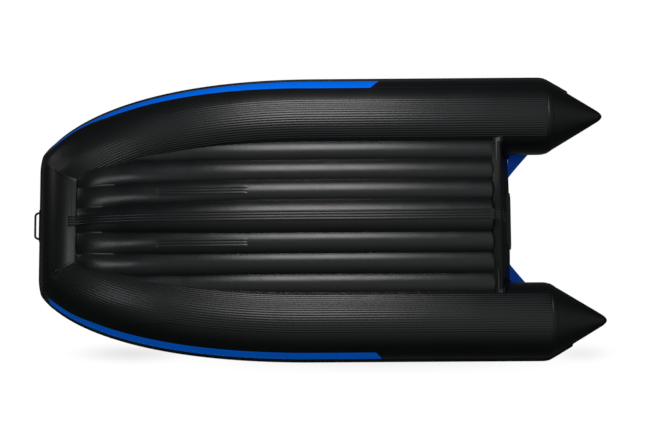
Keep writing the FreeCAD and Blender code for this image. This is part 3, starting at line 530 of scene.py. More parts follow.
def column_runs(section, start, stop, rows):
    """Runs from start to stop, which may be numbers or functions of each column's share."""
    first = start(section[:, 0]) if callable(start) else np.full(len(section), float(start))
    last = stop(section[:, 0]) if callable(stop) else np.full(len(section), float(stop))
    return first + (last - first) * np.linspace(0, 1, rows)[:, None]


print("corner run", round(CORNER_RUN, 3), "m")

# %% [markdown]
# ## Rub rail
# A moulded rubber rail runs round the boat's widest line and takes the knocks at a quay.
# Its section has a raised middle with grooves, and lips that taper to the cloth. The real
# one is pushed out of a die, so one drawn section, carried round the line, is closest.

# %% Rub rail
RAIL_HALF = 0.045
RAIL_TAIL = -0.14


def rail_low(run):
    """Angle of the rail's lower edge: minus the arcsine of its half width over the radius."""
    return -np.arcsin(RAIL_HALF / radius_at(run))


def rail_top(run):
    """Angle of the rail's upper edge: the lower edge's, turned over."""
    return -rail_low(run)


RAIL_SECTION = np.array([
    (0, 0), (0, 0.004), (0.02, 0.0052), (0.06, 0.0058), (0.12, 0.0056), (0.15, 0.0062), (0.2, 0.0092),
    (0.25, 0.0104), (0.31, 0.0108), (0.34, 0.0102), (0.37, 0.0108), (0.47, 0.011), (0.5, 0.0104),
    (0.53, 0.011), (0.63, 0.0108), (0.66, 0.0102), (0.69, 0.0108), (0.75, 0.0104), (0.8, 0.0092),
    (0.85, 0.0062), (0.88, 0.0056), (0.94, 0.0058), (0.98, 0.0052), (1, 0.004), (1, 0), (0.5, 0)])
rail_runs = np.concatenate([np.linspace(RAIL_TAIL, 0, 8)[:-1], np.linspace(0, LENGTH, 150)[:-1],
                            np.linspace(LENGTH, BOW_RUN, 16)[:-1],
                            np.linspace(BOW_RUN, BOW_RUN + CORNER[1], 12)])
rail_points = carried(RAIL_SECTION, rail_runs[:, None], rail_low, rail_top, rail_skin)
rails = pair("rub_rail", rail_points, "rub_rail", finish=RAIL_RUBBER, slot="rail_rubber")
print("rub rails", len(rails))

# %% [markdown]
# ## Stripes
# A blue band runs under the rail from the bow to a slanted end, and a black one goes on
# to the stern. The photograph shows them wider to port, so each side has its own angles,
# in degrees below the widest line. A colour on the tube would do for a flat look, but
# real strips of cloth have an edge that catches the light. Both bands share their angles.

# %% Stripes and black bands
BAND_LIFT = 0.0016
BAND_SECTION = thin_section(18, BAND_LIFT, 0.03)
BAND_GAP = 0.0015
STRIPE_TAIL = run_at(-0.383)
NOSE_TOP, TOP_CLIMB, LOW_CLIMB, BEND_PACE = 11.0, 0.25, 0.5, 1.4


def bend_share(run):
    """Share of the way along the bend: x past its start, over the bend's length along x."""
    x = on_line(np.clip(run, 0, LENGTH))[..., 0]
    return np.clip((x - BEND_START[0]) / (CORNER[0] - BEND_START[0]), 0, 1)


def band_edges(top, low, low_nose, nose_width):
    """Angles of a band's upper and lower edges: straight, along the bend, and at the corner."""
    def upper(run):
        """The top angle, then on to the nose's by the square of the way through the climb."""
        near = np.clip((run - LENGTH + TOP_CLIMB) / TOP_CLIMB, 0, 1)
        return -np.radians(top + (NOSE_TOP - top) * near ** 2)

    def lower(run):
        """The low angle, evenly on to the bend's, then to the nose's by a square."""
        wide = low + (low_nose - low) * np.clip(bend_share(run) * BEND_PACE, 0, 1)
        near = np.clip((run - LENGTH + LOW_CLIMB) / LOW_CLIMB, 0, 1)
        wide = wide + (NOSE_TOP + nose_width - wide) * near ** 2
        return -np.radians(wide)

    return upper, lower


def slanted_tail(upper, lower, gap):
    """Run of a band's slanted end for a share of its width: further aft at its upper edge.

    The run is the tail's plus the radius times how much the angle's cosine falls short of
    the upper edge's, so that the end is a straight slant when it is seen from below.
    """
    top, low = upper(STRIPE_TAIL), lower(STRIPE_TAIL)

    def tail(share):
        return STRIPE_TAIL + RADIUS * (np.cos(top) - np.cos(low + (top - low) * share)) - gap

    return tail


STRIPE_EDGES = {"port": (1, *band_edges(24.5, 48.0, 41.0, 11.0)),
                "starboard": (-1, *band_edges(13.0, 34.0, 34.5, 17.0))}
for side, (flip, upper, lower) in STRIPE_EDGES.items():
    stripe_runs = column_runs(BAND_SECTION, slanted_tail(upper, lower, 0), LENGTH + 0.01, 140)
    stripe_points = carried(BAND_SECTION, stripe_runs, lower, upper, rail_skin) * (1, flip, 1)
    piece_from_grid(f"stripe_{side}", stripe_points, replaces=(f"stripe_{side}",), finish=BLUE_CLOTH,
                    slot="blue_fabric")
    black_runs = column_runs(BAND_SECTION, RAIL_TAIL, slanted_tail(upper, lower, BAND_GAP), 70)
    black_points = carried(BAND_SECTION, black_runs, lower, upper, rail_skin) * (1, flip, 1)
    piece_from_grid(f"black_band_{side}", black_points, replaces=(f"rail_band_{side}",),
                    finish=TUBE_CLOTH, slot="tube_fabric")
print("stripes and black bands for", *STRIPE_EDGES)

# %% [markdown]
# ## Armour
# A wide sheet of ridged rubber saves the tube's underside from stones. Its ridges run
# lengthwise. A bump texture could draw them, but light that grazes the tube shows their
# sides, so they are real shape: a raised cosine of the angle, thinned at the edges.

# %% Armour
ARMOUR_LOW, ARMOUR_HIGH, ARMOUR_NOSE = math.radians(-131), math.radians(-70.5), math.radians(-30)
RIDGE_PITCH = 0.0142 / RADIUS
ARMOUR_BASE, ARMOUR_RIDGE = 0.0014, 0.0016
WIDEN_START, WIDEN_LONG = 0.72, 0.62


def armour_high(run):
    """Angle of the armour's outer edge: an eased climb along the bend, up to the stripe."""
    x = on_line(np.clip(run, 0, LENGTH))[..., 0]
    return ARMOUR_HIGH + (ARMOUR_NOSE - ARMOUR_HIGH) * smooth_step(x, WIDEN_START, WIDEN_LONG)


ARMOUR_COLUMNS = 200
columns = np.linspace(0, 1, ARMOUR_COLUMNS)
armour_ends = side_end(ARMOUR_LOW + (ARMOUR_NOSE - ARMOUR_LOW) * columns)
top_runs = to_end(np.linspace(0, LENGTH - MITRE_ROOM, 170), armour_ends)
top_angles = ARMOUR_LOW + (armour_high(top_runs) - ARMOUR_LOW) * columns
ridge = (0.5 - 0.5 * np.cos(2 * math.pi * (top_angles - ARMOUR_LOW) / RIDGE_PITCH)) ** 0.6
edge_fall = np.clip(np.minimum(columns, 1 - columns) * 60, 0.25, 1)
top_lift = GLUE + (ARMOUR_BASE + ARMOUR_RIDGE * ridge) * edge_fall
under = np.array((0.995, 0.75, 0.5, 0.25, 0.005))
under_index = (under * (ARMOUR_COLUMNS - 1)).round().astype(int)
armour_under = side_skin(top_runs[:, under_index], top_angles[:, under_index], 0.0)
armour_points = np.concatenate([side_skin(top_runs, top_angles, top_lift), armour_under], axis=1)
armours = pair("armour_rubber", armour_points, "armour", finish=RIDGED_RUBBER, slot="ridged_rubber")
print("armour", len(armours))

# %% [markdown]
# ## Seam tapes
# Two tubes that meet at a mitre are covered by a tape, half of it on each tube. The tape
# is a ring: it wraps round the seam and round its own thin section. Each of its columns
# is laid on the tube's own skin, so the tape follows the mitre without a gap.

# %% Mitre tapes
TAPE_HALF = 0.016
TAPE_LIFT = 0.0022


def seam_pairs(angle):
    """Ends of both tubes at the mitre for side angles, and the bow tube's angle there.

    That angle is the arctangent of the meeting point's height over its way ahead.
    """
    end = side_end(angle)
    place = side_skin(end, angle) - CORNER
    bow_angle = np.arctan2(place[:, 2], place[:, 0])
    return end, bow_angle, bow_end(bow_angle)


seam_side, seam_bow_angle, seam_bow = seam_pairs(ring)
tape_way = np.linspace(-1, 1, 13)
tape_lift = TAPE_LIFT * np.sqrt(1 - np.abs(tape_way) ** 8) + 0.0002
SIDE_COLUMNS = 7
side_part = [side_skin(seam_side + way * TAPE_HALF, ring, lift)
             for way, lift in zip(tape_way[:SIDE_COLUMNS], tape_lift[:SIDE_COLUMNS])]
bow_part = [bow_skin(seam_bow - way * TAPE_HALF, seam_bow_angle, lift)
            for way, lift in zip(tape_way[SIDE_COLUMNS:], tape_lift[SIDE_COLUMNS:])]
under_part = [bow_skin(seam_bow - 0.8 * TAPE_HALF, seam_bow_angle),
              side_skin(seam_side - 0.8 * TAPE_HALF, ring)]
tape_points = np.stack(side_part + bow_part + under_part, axis=1)
tapes = pair("mitre_tape", tape_points, wrap=True, finish=RIDGED_RUBBER, slot="tube_fabric")
print("mitre tapes", len(tapes))

# %% [markdown]
# ## Cone tapes and the bow's hem
# A tape rings each cone's seam, and a flat hem runs under the bow tube from mitre to
# mitre, where the floor is glued on. Both are sections with rounded edges, carried round.
# A section that is nearly flat, with a high power at its edges, reads as welded cloth.

# %% Cone tapes and hem
CONE_TAPE_RUN, CONE_TAPE_LIFT, HEM_LIFT = -0.024, 0.002, 0.0018
cone_way = np.linspace(-1, 1, 17)
band_runs = np.concatenate([CONE_TAPE_RUN + cone_way * TAPE_HALF, [-0.038, -0.010]])
band_lift = np.append(CONE_TAPE_LIFT * np.sqrt(1 - np.abs(cone_way) ** 10) + GLUE, (0, 0))
band_radius = (radius_at(band_runs) + band_lift)[:, None]
cone_tape = TAIL + FORE * band_runs[:, None] + cone_ring[:, None, :] * band_radius
cone_tapes = pair("cone_tape", cone_tape, wrap=True, finish=RIDGED_RUBBER, slot="tube_fabric")
hem = np.linspace(-1, 1, 15)
HEM_ANGLE, HEM_HALF = math.radians(-90.3), math.radians(3.4)
hem_angles = HEM_ANGLE + HEM_HALF * np.append(hem, (0.95, -0.95))
hem_lift = np.append(HEM_LIFT * np.sqrt(1 - np.abs(hem) ** 10) + GLUE, (0, 0))
hem_runs = to_end(np.linspace(0, CORNER[1] - MITRE_ROOM, 10), bow_end(hem_angles) - 0.004)
hem_half = bow_skin(hem_runs, hem_angles, hem_lift)
bow_hem = piece_from_grid("bow_hem", np.vstack([(hem_half * (1, -1, 1))[:0:-1], hem_half]),
                          finish=RIDGED_RUBBER, slot="tube_fabric")
print("cone tapes and hem", len(cone_tapes), bow_hem.name)

# %% [markdown]
# ## Inflated floor
# The floor is two layers of cloth, welded along lines, so the air raises a rib between
# each two welds. The widest rib is the keel. First come the welds' places and how the
# bottom changes from the stern to the bow: it is a shallow V that goes flat, and its
# ribs lose depth before they lap under the bow tube.

# %% Floor measures
CREASE_LOW, CREASE_HIGH = 0.046, 0.108
KEEL_HALF, RIB_PITCH = 0.098, 0.118667
RIB_DROP, KEEL_DROP, TOP_RISE = 0.0212, 0.0417, 0.022
FLOOR_TAIL, FLOOR_FRONT = -1.048, 1.412
DIP_START, DIP_LONG, DIP = 1.12, 0.28, 0.030
FLAT_START, FLAT_LONG = 0.75, 0.5
THIN_START, THIN_LONG, THINNING = 1.05, 0.33, 0.72
CREASE_RISE = np.array((0.0, 0.0165, 0.032, 0.038))
NARROWING = np.array((0.0, 0.4, 0.7, 0.9, 1.1, 1.25, 1.33, 1.41))
CREASE_TAPERS = np.array([(1.0, 1.0, 0.94, 0.88, 0.83, 0.77, 0.74, 0.72),
                          (1.0, 1.0, 0.99, 0.97, 0.95, 0.93, 0.91, 0.90),
                          (1.0, 1.0, 1.01, 1.0, 1.0, 0.97, 0.93, 0.9),
                          (1.0, 1.0, 1.0, 0.99, 0.97, 0.94, 0.9, 0.86)])
crease_side = np.array((-1, -1, -1, -1, 1, 1, 1, 1))
crease_order = np.array((3, 2, 1, 0, 0, 1, 2, 3))
crease_width = KEEL_HALF + RIB_PITCH * np.arange(4)


def floor_dip(x):
    """How much the floor's underside drops where it laps under the bow tube: an eased step."""
    return DIP * smooth_step(x, DIP_START, DIP_LONG)


def deadrise(x):
    """Share of the welds' full rise outboard: 1, less an eased step to 0 towards the bow."""
    return 1 - smooth_step(x, FLAT_START, FLAT_LONG)


def rib_fullness(x):
    """Share of the ribs' full depth: 1, less a power of the way through the last stretch."""
    return 1 - THINNING * np.clip((x - THIN_START) / THIN_LONG, 0, 1) ** 1.5


print("welds at", crease_width.round(3), "m from the middle")

# %% [markdown]
# ## Ribs of the floor
# A rib hangs below its two welds as a parabola, and its after end is a rounded tip. Cloth
# simulation would blow the ribs up too, but not the same way twice. One grid goes round
# all seven ribs, below and above, so the floor is a single closed skin.

# %% Floor
def floor_points(rows_at, per_rib=16):
    """Closed sections of the floor: a rib below and one above, between each two welds.

    A weld's place across the hull is its own width times a taper. The welds rise outboard, so
    that the bottom is a shallow V. A rib hangs below its two welds by its drop times a
    parabola, 1 - s^2, mixed with a little of a half circle, sqrt(1 - s^2). At the after end
    the section shrinks to its middle height by a quarter circle.
    """
    inside = np.linspace(0, 1, per_rib, endpoint=False)
    place = np.append((np.arange(7)[:, None] + inside).ravel(), 7.0)
    first = np.minimum(place.astype(int), 6)
    within = place - first
    local = within * 2 - 1
    keel = first == 3
    bulge = np.sqrt(np.clip(1 - local ** 2, 0, 1)) * 0.12 + (1 - local ** 2) * 0.88
    drop = np.where(keel, KEEL_DROP, RIB_DROP) * bulge
    tip = np.concatenate([bulge, bulge[::-1]])
    share = np.clip(rows_at, 0, 1)[:, None]
    back = FLOOR_TAIL + 0.008 * (1 - tip)
    x = back + (FLOOR_FRONT - back) * share
    full = np.sqrt(np.clip(1 - (1 - np.clip((x - back) / 0.026, 0, 1)) ** 2, 0.02, 1))
    tapers = np.stack([np.interp(x, NARROWING, taper) for taper in CREASE_TAPERS])
    columns = np.concatenate([first, first[::-1]])
    ahead = np.concatenate([within, within[::-1]])
    row, column = np.indices(x.shape)

    def weld_y(index):
        """Place across the hull of the weld with this index, for each point of the grid."""
        order = crease_order[index]
        return crease_side[index] * crease_width[order] * tapers[order[None, :], row, column]

    y = weld_y(columns) * (1 - ahead) + weld_y(columns + 1) * ahead
    rise = CREASE_RISE[crease_order]
    lift = rise[columns] * (1 - ahead) + rise[columns + 1] * ahead
    level = np.concatenate([np.full(place.size, CREASE_LOW), np.full(place.size, CREASE_HIGH)])
    below = np.arange(level.size) < place.size
    level = level + np.where(below, lift, 0) * deadrise(x)
    depth = np.concatenate([-drop, (TOP_RISE * bulge)[::-1]])
    middle = (CREASE_LOW + CREASE_HIGH) / 2
    z = middle + (level + depth * rib_fullness(x) - middle) * full + rise_at(x) - floor_dip(x) * below
    return np.stack([x, y, z], axis=-1)


rows_at = np.concatenate([np.linspace(0, 0.016, 14)[:-1], np.linspace(0.016, 1, 170)])
floor = piece_from_grid("floor_skin", floor_points(rows_at), replaces=("air_floor",), finish=FLOOR_CLOTH,
                        slot="floor_fabric", sharp=60)
print("floor", len(floor.data.vertices), "points")

# %% [markdown]
# ## Wear strips under the floor
# Strips of ridged rubber save the cloth from sand. A strip's section, with rounded
# ridges, is carried along the underside of a rib, and its ends are rubbed down. The line
# comes from the floor's own formulas, so that a strip can't float or sink.

# %% Keel and skid strips
def under_rib(x, drop, rise=0.0):
    """Height of a rib's lowest line: the weld's, less the rib's depth there and the dip."""
    return CREASE_LOW + rise - drop * rib_fullness(x) + rise_at(x) - floor_dip(x)


def strip_section(width, ridges, base, ridge):
    """Section of a strip as (side, depth): a base with raised-cosine ridges, then its glued face."""
    share = np.linspace(0, 1, ridges * 8 + 1)
    wave = (0.5 - 0.5 * np.cos(2 * math.pi * ridges * share)) ** 1.6
    depth = base + ridge * wave
    depth[0] = depth[-1] = base * 0.4
    side = (share - 0.5) * width
    return (np.concatenate([side, [width / 2, 0, -width / 2]]),
            np.concatenate([depth, [-0.001, -0.001, -0.001]]))


def strip_points(x, z, y, section, end_fall):
    """The section carried along (x, z), square to the line, thinner near both ends.

    A point is the line's, plus its depth times the line's way turned by a right angle, and
    near an end the depth falls with the square root of the way left.
    """
    side, depth = section
    way = np.stack([np.gradient(x), np.gradient(z)], axis=1)
    way /= np.linalg.norm(way, axis=1, keepdims=True)
    run = np.concatenate([[0], np.cumsum(np.hypot(np.diff(x), np.diff(z)))])
    near = np.clip(np.minimum(run, run[-1] - run) / end_fall, 0.15, 1) ** 0.5
    deep = depth[None, :] * np.where(depth > 0, near[:, None], 1)
    return np.stack([x[:, None] + way[:, 1:] * deep, np.broadcast_to(y + side, deep.shape),
                     z[:, None] - way[:, :1] * deep], axis=-1)


STRIP_BASE, STRIP_RIDGE = 0.0012, 0.003
KEEL_SECTION = strip_section(0.062, 4, STRIP_BASE, STRIP_RIDGE)
SKID_SECTION = strip_section(0.05, 3, STRIP_BASE, STRIP_RIDGE)
SKID_Y = 0.153
keel_x = np.linspace(-1.036, 1.405, 170)
keel_points = strip_points(keel_x, under_rib(keel_x, KEEL_DROP), 0, KEEL_SECTION, 0.01)
keel = piece_from_grid("keel_rubber", keel_points, replaces=("keel_strip",), finish=RIDGED_RUBBER,
                       slot="ridged_rubber")
lap_angle = np.linspace(math.radians(-97), math.radians(-82), 14)
lap_x = CORNER[0] + (RADIUS + 0.002) * np.cos(lap_angle)
lap_z = CORNER[2] + (RADIUS + 0.002) * np.sin(lap_angle)
keel_lap = piece_from_grid("keel_lap", strip_points(lap_x, lap_z, 0, KEEL_SECTION, 0.006),
                           finish=RIDGED_RUBBER, slot="ridged_rubber")
skid_x = np.linspace(0.39, 0.925, 50)
skid_z = under_rib(skid_x, RIB_DROP, 0.0078 * deadrise(skid_x)) + 0.0008
skids = pair("skid_rubber", strip_points(skid_x, skid_z, SKID_Y, SKID_SECTION, 0.02), "skid_strip",
             finish=RIDGED_RUBBER, slot="ridged_rubber")
print("strips", keel.name, keel_lap.name, len(skids), "skids")

# %% [markdown]
# ## Gussets
# Triangles of blue cloth brace the transom's corners against the tubes. A cloth that is
# held along two edges sags between them, so the sheet dips by a sine of its width. A flat
# triangle with a thickness would do, but it would mirror the sky like a board.

# %% Gussets
def sheet_section(thickness, sag=0.0, count=15):
    """Columns of a thin sheet: shares across its upper face, then back across its under face.

    A point lies half the thickness over or under the middle, less the sag times the sine of
    pi times its share, and the edges are thinner.
    """
    share = np.linspace(0, 1, count)
    both = np.concatenate([share, share[::-1]])
    drop = -sag * np.sin(math.pi * both)
    lift = np.concatenate([np.full(count, thickness / 2), np.full(count, -thickness / 2)])
    lift[[0, count - 1, count, -1]] *= 0.4
    return both, drop + lift


GUSSET_AFT, GUSSET_LONG = -1.151, 0.141
GUSSET_INNER, GUSSET_TIP, GUSSET_OUTER = 0.257, 0.421, 0.427
aft = np.linspace(0, 1, 20)
gusset_share, gusset_lift = sheet_section(0.003, sag=0.006)
gusset_x = GUSSET_AFT - GUSSET_LONG * aft
gusset_inner = GUSSET_INNER + (GUSSET_TIP - GUSSET_INNER) * aft ** 0.95
gusset_y = gusset_inner[:, None] + (GUSSET_OUTER - gusset_inner)[:, None] * gusset_share
gusset_level = 0.350 + 0.028 * aft - 0.004 * np.sin(math.pi * aft)
gusset_z = gusset_level[:, None] + gusset_lift * (1 - aft[:, None] * 0.8)
gusset_points = np.stack([np.broadcast_to(gusset_x[:, None], gusset_y.shape), gusset_y, gusset_z], axis=-1)
gussets = pair("gusset_sheet", gusset_points, "gusset", finish=GUSSET_CLOTH, slot="blue_fabric", sharp=60)
print("gussets", len(gussets))

# %% [markdown]
# ## Holder strips
# A narrow light-grey strip ends each transom holder. It follows the tube round and
# leans back with the transom, so its place along the hull falls off with its height. It is
# too thin for the solids, but it is the brightest line at the stern.

# %% Holder strips
RAKE = math.radians(12.3)
HOLDER_STRIP_X, HOLDER_STRIP_Z, HOLDER_STRIP_HALF, HOLDER_STRIP_OFF = -1.088, 0.1, 0.006, 0.016
strip_angle = np.radians(np.linspace(-136, -178, 22))
strip_side = np.linspace(-1, 1, 9)
strip_rise = 0.004 * np.sqrt(1 - np.abs(strip_side) ** 6) + 0.0005
strip_x = HOLDER_STRIP_X + HOLDER_STRIP_HALF * np.append(strip_side, (1, -1))
strip_r = RADIUS + HOLDER_STRIP_OFF + np.append(strip_rise, (-0.002, -0.002))
strip_z = TAIL[2] + strip_r * np.sin(strip_angle)[:, None]
holder_strip_points = np.stack([strip_x - (strip_z - HOLDER_STRIP_Z) * math.tan(RAKE),
                               TAIL[1] + strip_r * np.cos(strip_angle)[:, None], strip_z], axis=-1)
holder_strips = pair("holder_strip", holder_strip_points, finish=LIGHT_GREY_STRIP, slot="holder_rubber")
print("holder strips", len(holder_strips))

# %% [markdown]
# ## Apron at the stern
# A sheet of cloth closes the gap behind the ribs: it lies under the floor's end, folds up
# at the transom's foot and ends high on its after face. The line of that fold is a
# profile with a small rounded knee, and the sheet's width fills the room at each height.

# %% Apron
APRON_THICK = 0.003
APRON_FACE = 70
KNEE = 0.014
TUBE_ROOM, APRON_HALF = 0.0245, 0.432
rake_way = np.array((-math.sin(RAKE), math.cos(RAKE)))
apron_foot = np.array((-1.0829, 0.0472))
knee = [apron_foot + (KNEE, 0), apron_foot, apron_foot + rake_way * KNEE]
share = np.linspace(0, 1, 9)[:, None]
knee_line = knee[0] * (1 - share) ** 2 + 2 * knee[1] * share * (1 - share) + knee[2] * share ** 2
apron_line = np.vstack([(apron_foot + rake_way * np.linspace(0.305, 0.02, 16)[:, None]), knee_line[::-1],
                        np.stack([np.linspace(-1.064, -1.034, 6), np.full(6, apron_foot[1])], axis=1)])


def room_half(z, off):
    """Half of the room between the tubes at a height, some way off their skins.

    It is the tube's place across, less half a chord: sqrt((radius + off)^2 - height^2).
    """
    return TAIL[1] - np.sqrt(np.maximum((RADIUS + off) ** 2 - (z - TAIL[2]) ** 2, 0))


def weld_rise(y):
    """How much the floor's welds rise at a place across the hull, read between the welds."""
    return np.interp(np.abs(y), crease_width, CREASE_RISE)


apron_share = np.concatenate([np.linspace(-1, 1, APRON_FACE), np.linspace(1, -1, APRON_FACE)])
apron_face = np.repeat((0, APRON_THICK), APRON_FACE)
apron_way = unit(np.gradient(apron_line, axis=0))
apron_half = np.minimum(room_half(apron_line[:, 1], TUBE_ROOM), APRON_HALF)
apron_y = apron_share * apron_half[:, None]
fore_share = np.clip((apron_line[:, 0] + 1.075) / 0.04, 0, 1)[:, None]
apron_x = apron_line[:, :1] - apron_way[:, 1:] * apron_face
apron_z = apron_line[:, 1:] + apron_way[:, :1] * apron_face + 0.6 * weld_rise(apron_y) * fore_share
apron = piece_from_grid("apron_sheet", np.stack([apron_x, apron_y, apron_z], axis=-1),
                        replaces=("stern_apron",), finish=APRON_CLOTH, slot="floor_fabric", sharp=60)
strip_line = apron_line[3:]
apron_strip = piece_from_grid("apron_strip",
                              strip_points(strip_line[:, 0], strip_line[:, 1], 0, KEEL_SECTION, 0.01),
                              finish=RIDGED_RUBBER, slot="ridged_rubber")
print("apron", apron.name, apron_strip.name)

# %% [markdown]
# ## Bow handle
# A stiff loop stands out of a plate on the bow's rail, for carrying the boat. The loop is
# a rod carried along a line with two rounded corners, a little thicker at its roots. A
# curve with a bevel would be as good, but it would need a mesh made of it.

# %% Handle loop
LOOP_HALF, LOOP_REACH, LOOP_ROUND, ROD = 0.078, 0.028, 0.021, 0.0066
RAIL_FACE = 0.0113
loop_turn = np.linspace(0, math.pi / 2, 12)
loop_corner = np.stack([LOOP_REACH - LOOP_ROUND * (1 - np.sin(loop_turn)),
                        LOOP_HALF - LOOP_ROUND * (1 - np.cos(loop_turn))], axis=1)
loop_root = np.stack([np.linspace(-0.01, LOOP_REACH - LOOP_ROUND, 6), np.full(6, LOOP_HALF)], axis=1)
loop_side = np.vstack([loop_root, loop_corner[1:], [(LOOP_REACH, 0)]])
loop_line = np.vstack([loop_side, (loop_side * (1, -1))[-2::-1]])
loop_way = unit(np.gradient(loop_line, axis=0))
loop_ring = np.linspace(0, 2 * math.pi, 20, endpoint=False)
loop_size = ROD * (1 + 0.25 * (loop_line[:, :1] < 0.004))
bow_front = CORNER + (RADIUS + RAIL_FACE, -CORNER[1], 0)
loop_points = np.stack([bow_front[0] + loop_line[:, :1] + loop_way[:, 1:] * loop_size * np.cos(loop_ring),
                        loop_line[:, 1:] - loop_way[:, :1] * loop_size * np.cos(loop_ring),
                        bow_front[2] + loop_size * np.sin(loop_ring)], axis=-1)
handle_loop = piece_from_grid("handle_loop", loop_points, replaces=("bow_handle",), finish=PLASTIC,
                              slot="moulded_plastic")
print("handle", handle_loop.name)

# %% [markdown]
# ## Plate of the handle
# A thin moulded plate with round ends spreads the handle's pull over the rail. It is a
# thin sheet like the gusset, and its half width follows a circle near both ends.

# %% Handle plate
PLATE_THICK, PLATE_HALF, PLATE_LONG = 0.0036, 0.019, 0.098
plate_share, plate_lift = sheet_section(PLATE_THICK)
plate_y = np.linspace(-PLATE_LONG, PLATE_LONG, 40)
past_straight = np.maximum(np.abs(plate_y) - (PLATE_LONG - PLATE_HALF), 0) / PLATE_HALF
plate_half = PLATE_HALF * np.sqrt(np.clip(1 - past_straight ** 2, 0.02, 1))
plate_shape = plate_y.size, plate_lift.size
plate_points = np.stack([np.broadcast_to(bow_front[0] + 0.0021 + plate_lift, plate_shape),
                         np.broadcast_to(plate_y[:, None], plate_shape),
                         bow_front[2] + plate_half[:, None] * (plate_share * 2 - 1)], axis=-1)
handle_pad = piece_from_grid("handle_pad", plate_points, finish=PLASTIC, slot="moulded_plastic")
print("plate", handle_pad.name)

# %% [markdown]
# ## Park floor
# The park floor is pale and is seen only from above, so that the photograph's camera can
# look through it from below. Light Path tells which rays come from a camera, and Geometry
# tells which face they meet. One floor then serves all views, and none has to hide it.

# %% Park floor
def new_sheet(name, corners):
    """One flat face on the stage, and its new material."""
    mesh = bpy.data.meshes.new(name)
    mesh.from_pydata(corners, [], [(0, 1, 2, 3)])
    sheet = bpy.data.objects.new(name, mesh)
    bpy.context.scene.collection.objects.link(sheet)
    material = bpy.data.materials.new(name)
    material.use_nodes = True
    mesh.materials.append(material)
    return sheet, material.node_tree


def seen_in_front(tree):
    """Socket that is 1 where a camera ray meets the sheet's front, and 0 for all other rays."""
    path, face = tree.nodes.new("ShaderNodeLightPath"), tree.nodes.new("ShaderNodeNewGeometry")
    front = tree.nodes.new("ShaderNodeMath")
    front.operation, front.use_clamp = "SUBTRACT", True
    tree.links.new(path.outputs["Is Camera Ray"], front.inputs[0])
    tree.links.new(face.outputs["Backfacing"], front.inputs[1])
    return front.outputs["Value"]


def clear_or(tree, amount, shader):
    """Surface that is clear where the amount is 0, and the given shader where it is 1."""
    clear, mix = tree.nodes.new("ShaderNodeBsdfTransparent"), tree.nodes.new("ShaderNodeMixShader")
    tree.links.new(amount, mix.inputs[0])
    tree.links.new(clear.outputs[0], mix.inputs[1])
    tree.links.new(shader.outputs[0], mix.inputs[2])
    tree.links.new(mix.outputs[0], tree.nodes["Material Output"].inputs["Surface"])


FLOOR_HALF, FLOOR_LEVEL, FLOOR_GLOW = 40, -0.001, 0.12
floor_corners = [(-FLOOR_HALF, -FLOOR_HALF), (FLOOR_HALF, -FLOOR_HALF), (FLOOR_HALF, FLOOR_HALF),
                 (-FLOOR_HALF, FLOOR_HALF)]
park_floor, floor_tree = new_sheet("park_floor", [(x, y, FLOOR_LEVEL) for x, y in floor_corners])
floor_shader = floor_tree.nodes["Principled BSDF"]
for socket, value in (("Base Color", (0.8, 0.8, 0.8, 1)), ("Roughness", 1), ("Specular IOR Level", 0),
                      ("Emission Color", (1, 1, 1, 1)), ("Emission Strength", FLOOR_GLOW)):
    floor_shader.inputs[socket].default_value = value
clear_or(floor_tree, seen_in_front(floor_tree), floor_shader)
print("park floor", 2 * FLOOR_HALF, "m wide")

# %% [markdown]
# ## Shadow veil
# The photograph has a faint soft shadow under the hull, on a white ground. A real shadow
# would need a ground right behind the boat, which would hide it from the other side. So
# a clear veil hangs behind the boat and darkens the white a little, in three soft spots.
# A spot is an ellipse: the way from its centre over its reach, with a smooth fall to 0.

# %% Shadow veil
def sight(u, v, distance):
    """World point that the camera sees at a pixel of the photograph, so far ahead of it.

    A pixel's way is its distance from the middle times the sensor's width over the lens and
    over the picture's width, with 1 ahead, and the way is scaled by the distance.
    """
    side = camera_data.sensor_width / camera_data.lens / PHOTO_WIDTH
    place = Vector(((u - PHOTO_WIDTH / 2) * side, (PHOTO_HEIGHT / 2 - v) * side, -1))
    return camera.matrix_world @ (place * distance)


SHADOWS = [((1.32, 3.535), (0.75, 0.13), 0.21), ((3.85, 3.56), (2.5, 0.21), 0.17),
           ((5.82, 3.53), (0.38, 0.12), 0.12)]
VEIL_AHEAD = 16
veil_pixels = np.array([(40, 420), (640, 420), (640, 320), (40, 320)], float)
veil, veil_tree = new_sheet("shadow_veil", [sight(u, v, VEIL_AHEAD) for u, v in veil_pixels])
veil.data.uv_layers.new(name="pixels").data.foreach_set("uv", (veil_pixels / 100).ravel())
nodes, links = veil_tree.nodes, veil_tree.links
nodes.remove(nodes["Principled BSDF"])
place = nodes.new("ShaderNodeTexCoord")
darkness = None
for centre, reach, depth in SHADOWS:
    away, scaled = nodes.new("ShaderNodeVectorMath"), nodes.new("ShaderNodeVectorMath")
    length, fade = nodes.new("ShaderNodeVectorMath"), nodes.new("ShaderNodeMapRange")
    away.operation, scaled.operation, length.operation = "SUBTRACT", "DIVIDE", "LENGTH"
    away.inputs[1].default_value, scaled.inputs[1].default_value = (*centre, 0), (*reach, 1)
    fade.interpolation_type = "SMOOTHSTEP"
    fade.inputs["To Min"].default_value, fade.inputs["To Max"].default_value = depth, 0
    links.new(place.outputs["UV"], away.inputs[0])
    links.new(away.outputs[0], scaled.inputs[0])
    links.new(scaled.outputs[0], length.inputs[0])
    links.new(length.outputs["Value"], fade.inputs["Value"])
    total = nodes.new("ShaderNodeMath")
    total.inputs[1].default_value = 0
    links.new(fade.outputs["Result"], total.inputs[0])
    if darkness:
        links.new(darkness, total.inputs[1])
    darkness = total.outputs["Value"]
amount, dark = nodes.new("ShaderNodeMath"), nodes.new("ShaderNodeEmission")
amount.operation = "MULTIPLY"
links.new(seen_in_front(veil_tree), amount.inputs[0])
links.new(darkness, amount.inputs[1])
dark.inputs["Strength"].default_value = 0
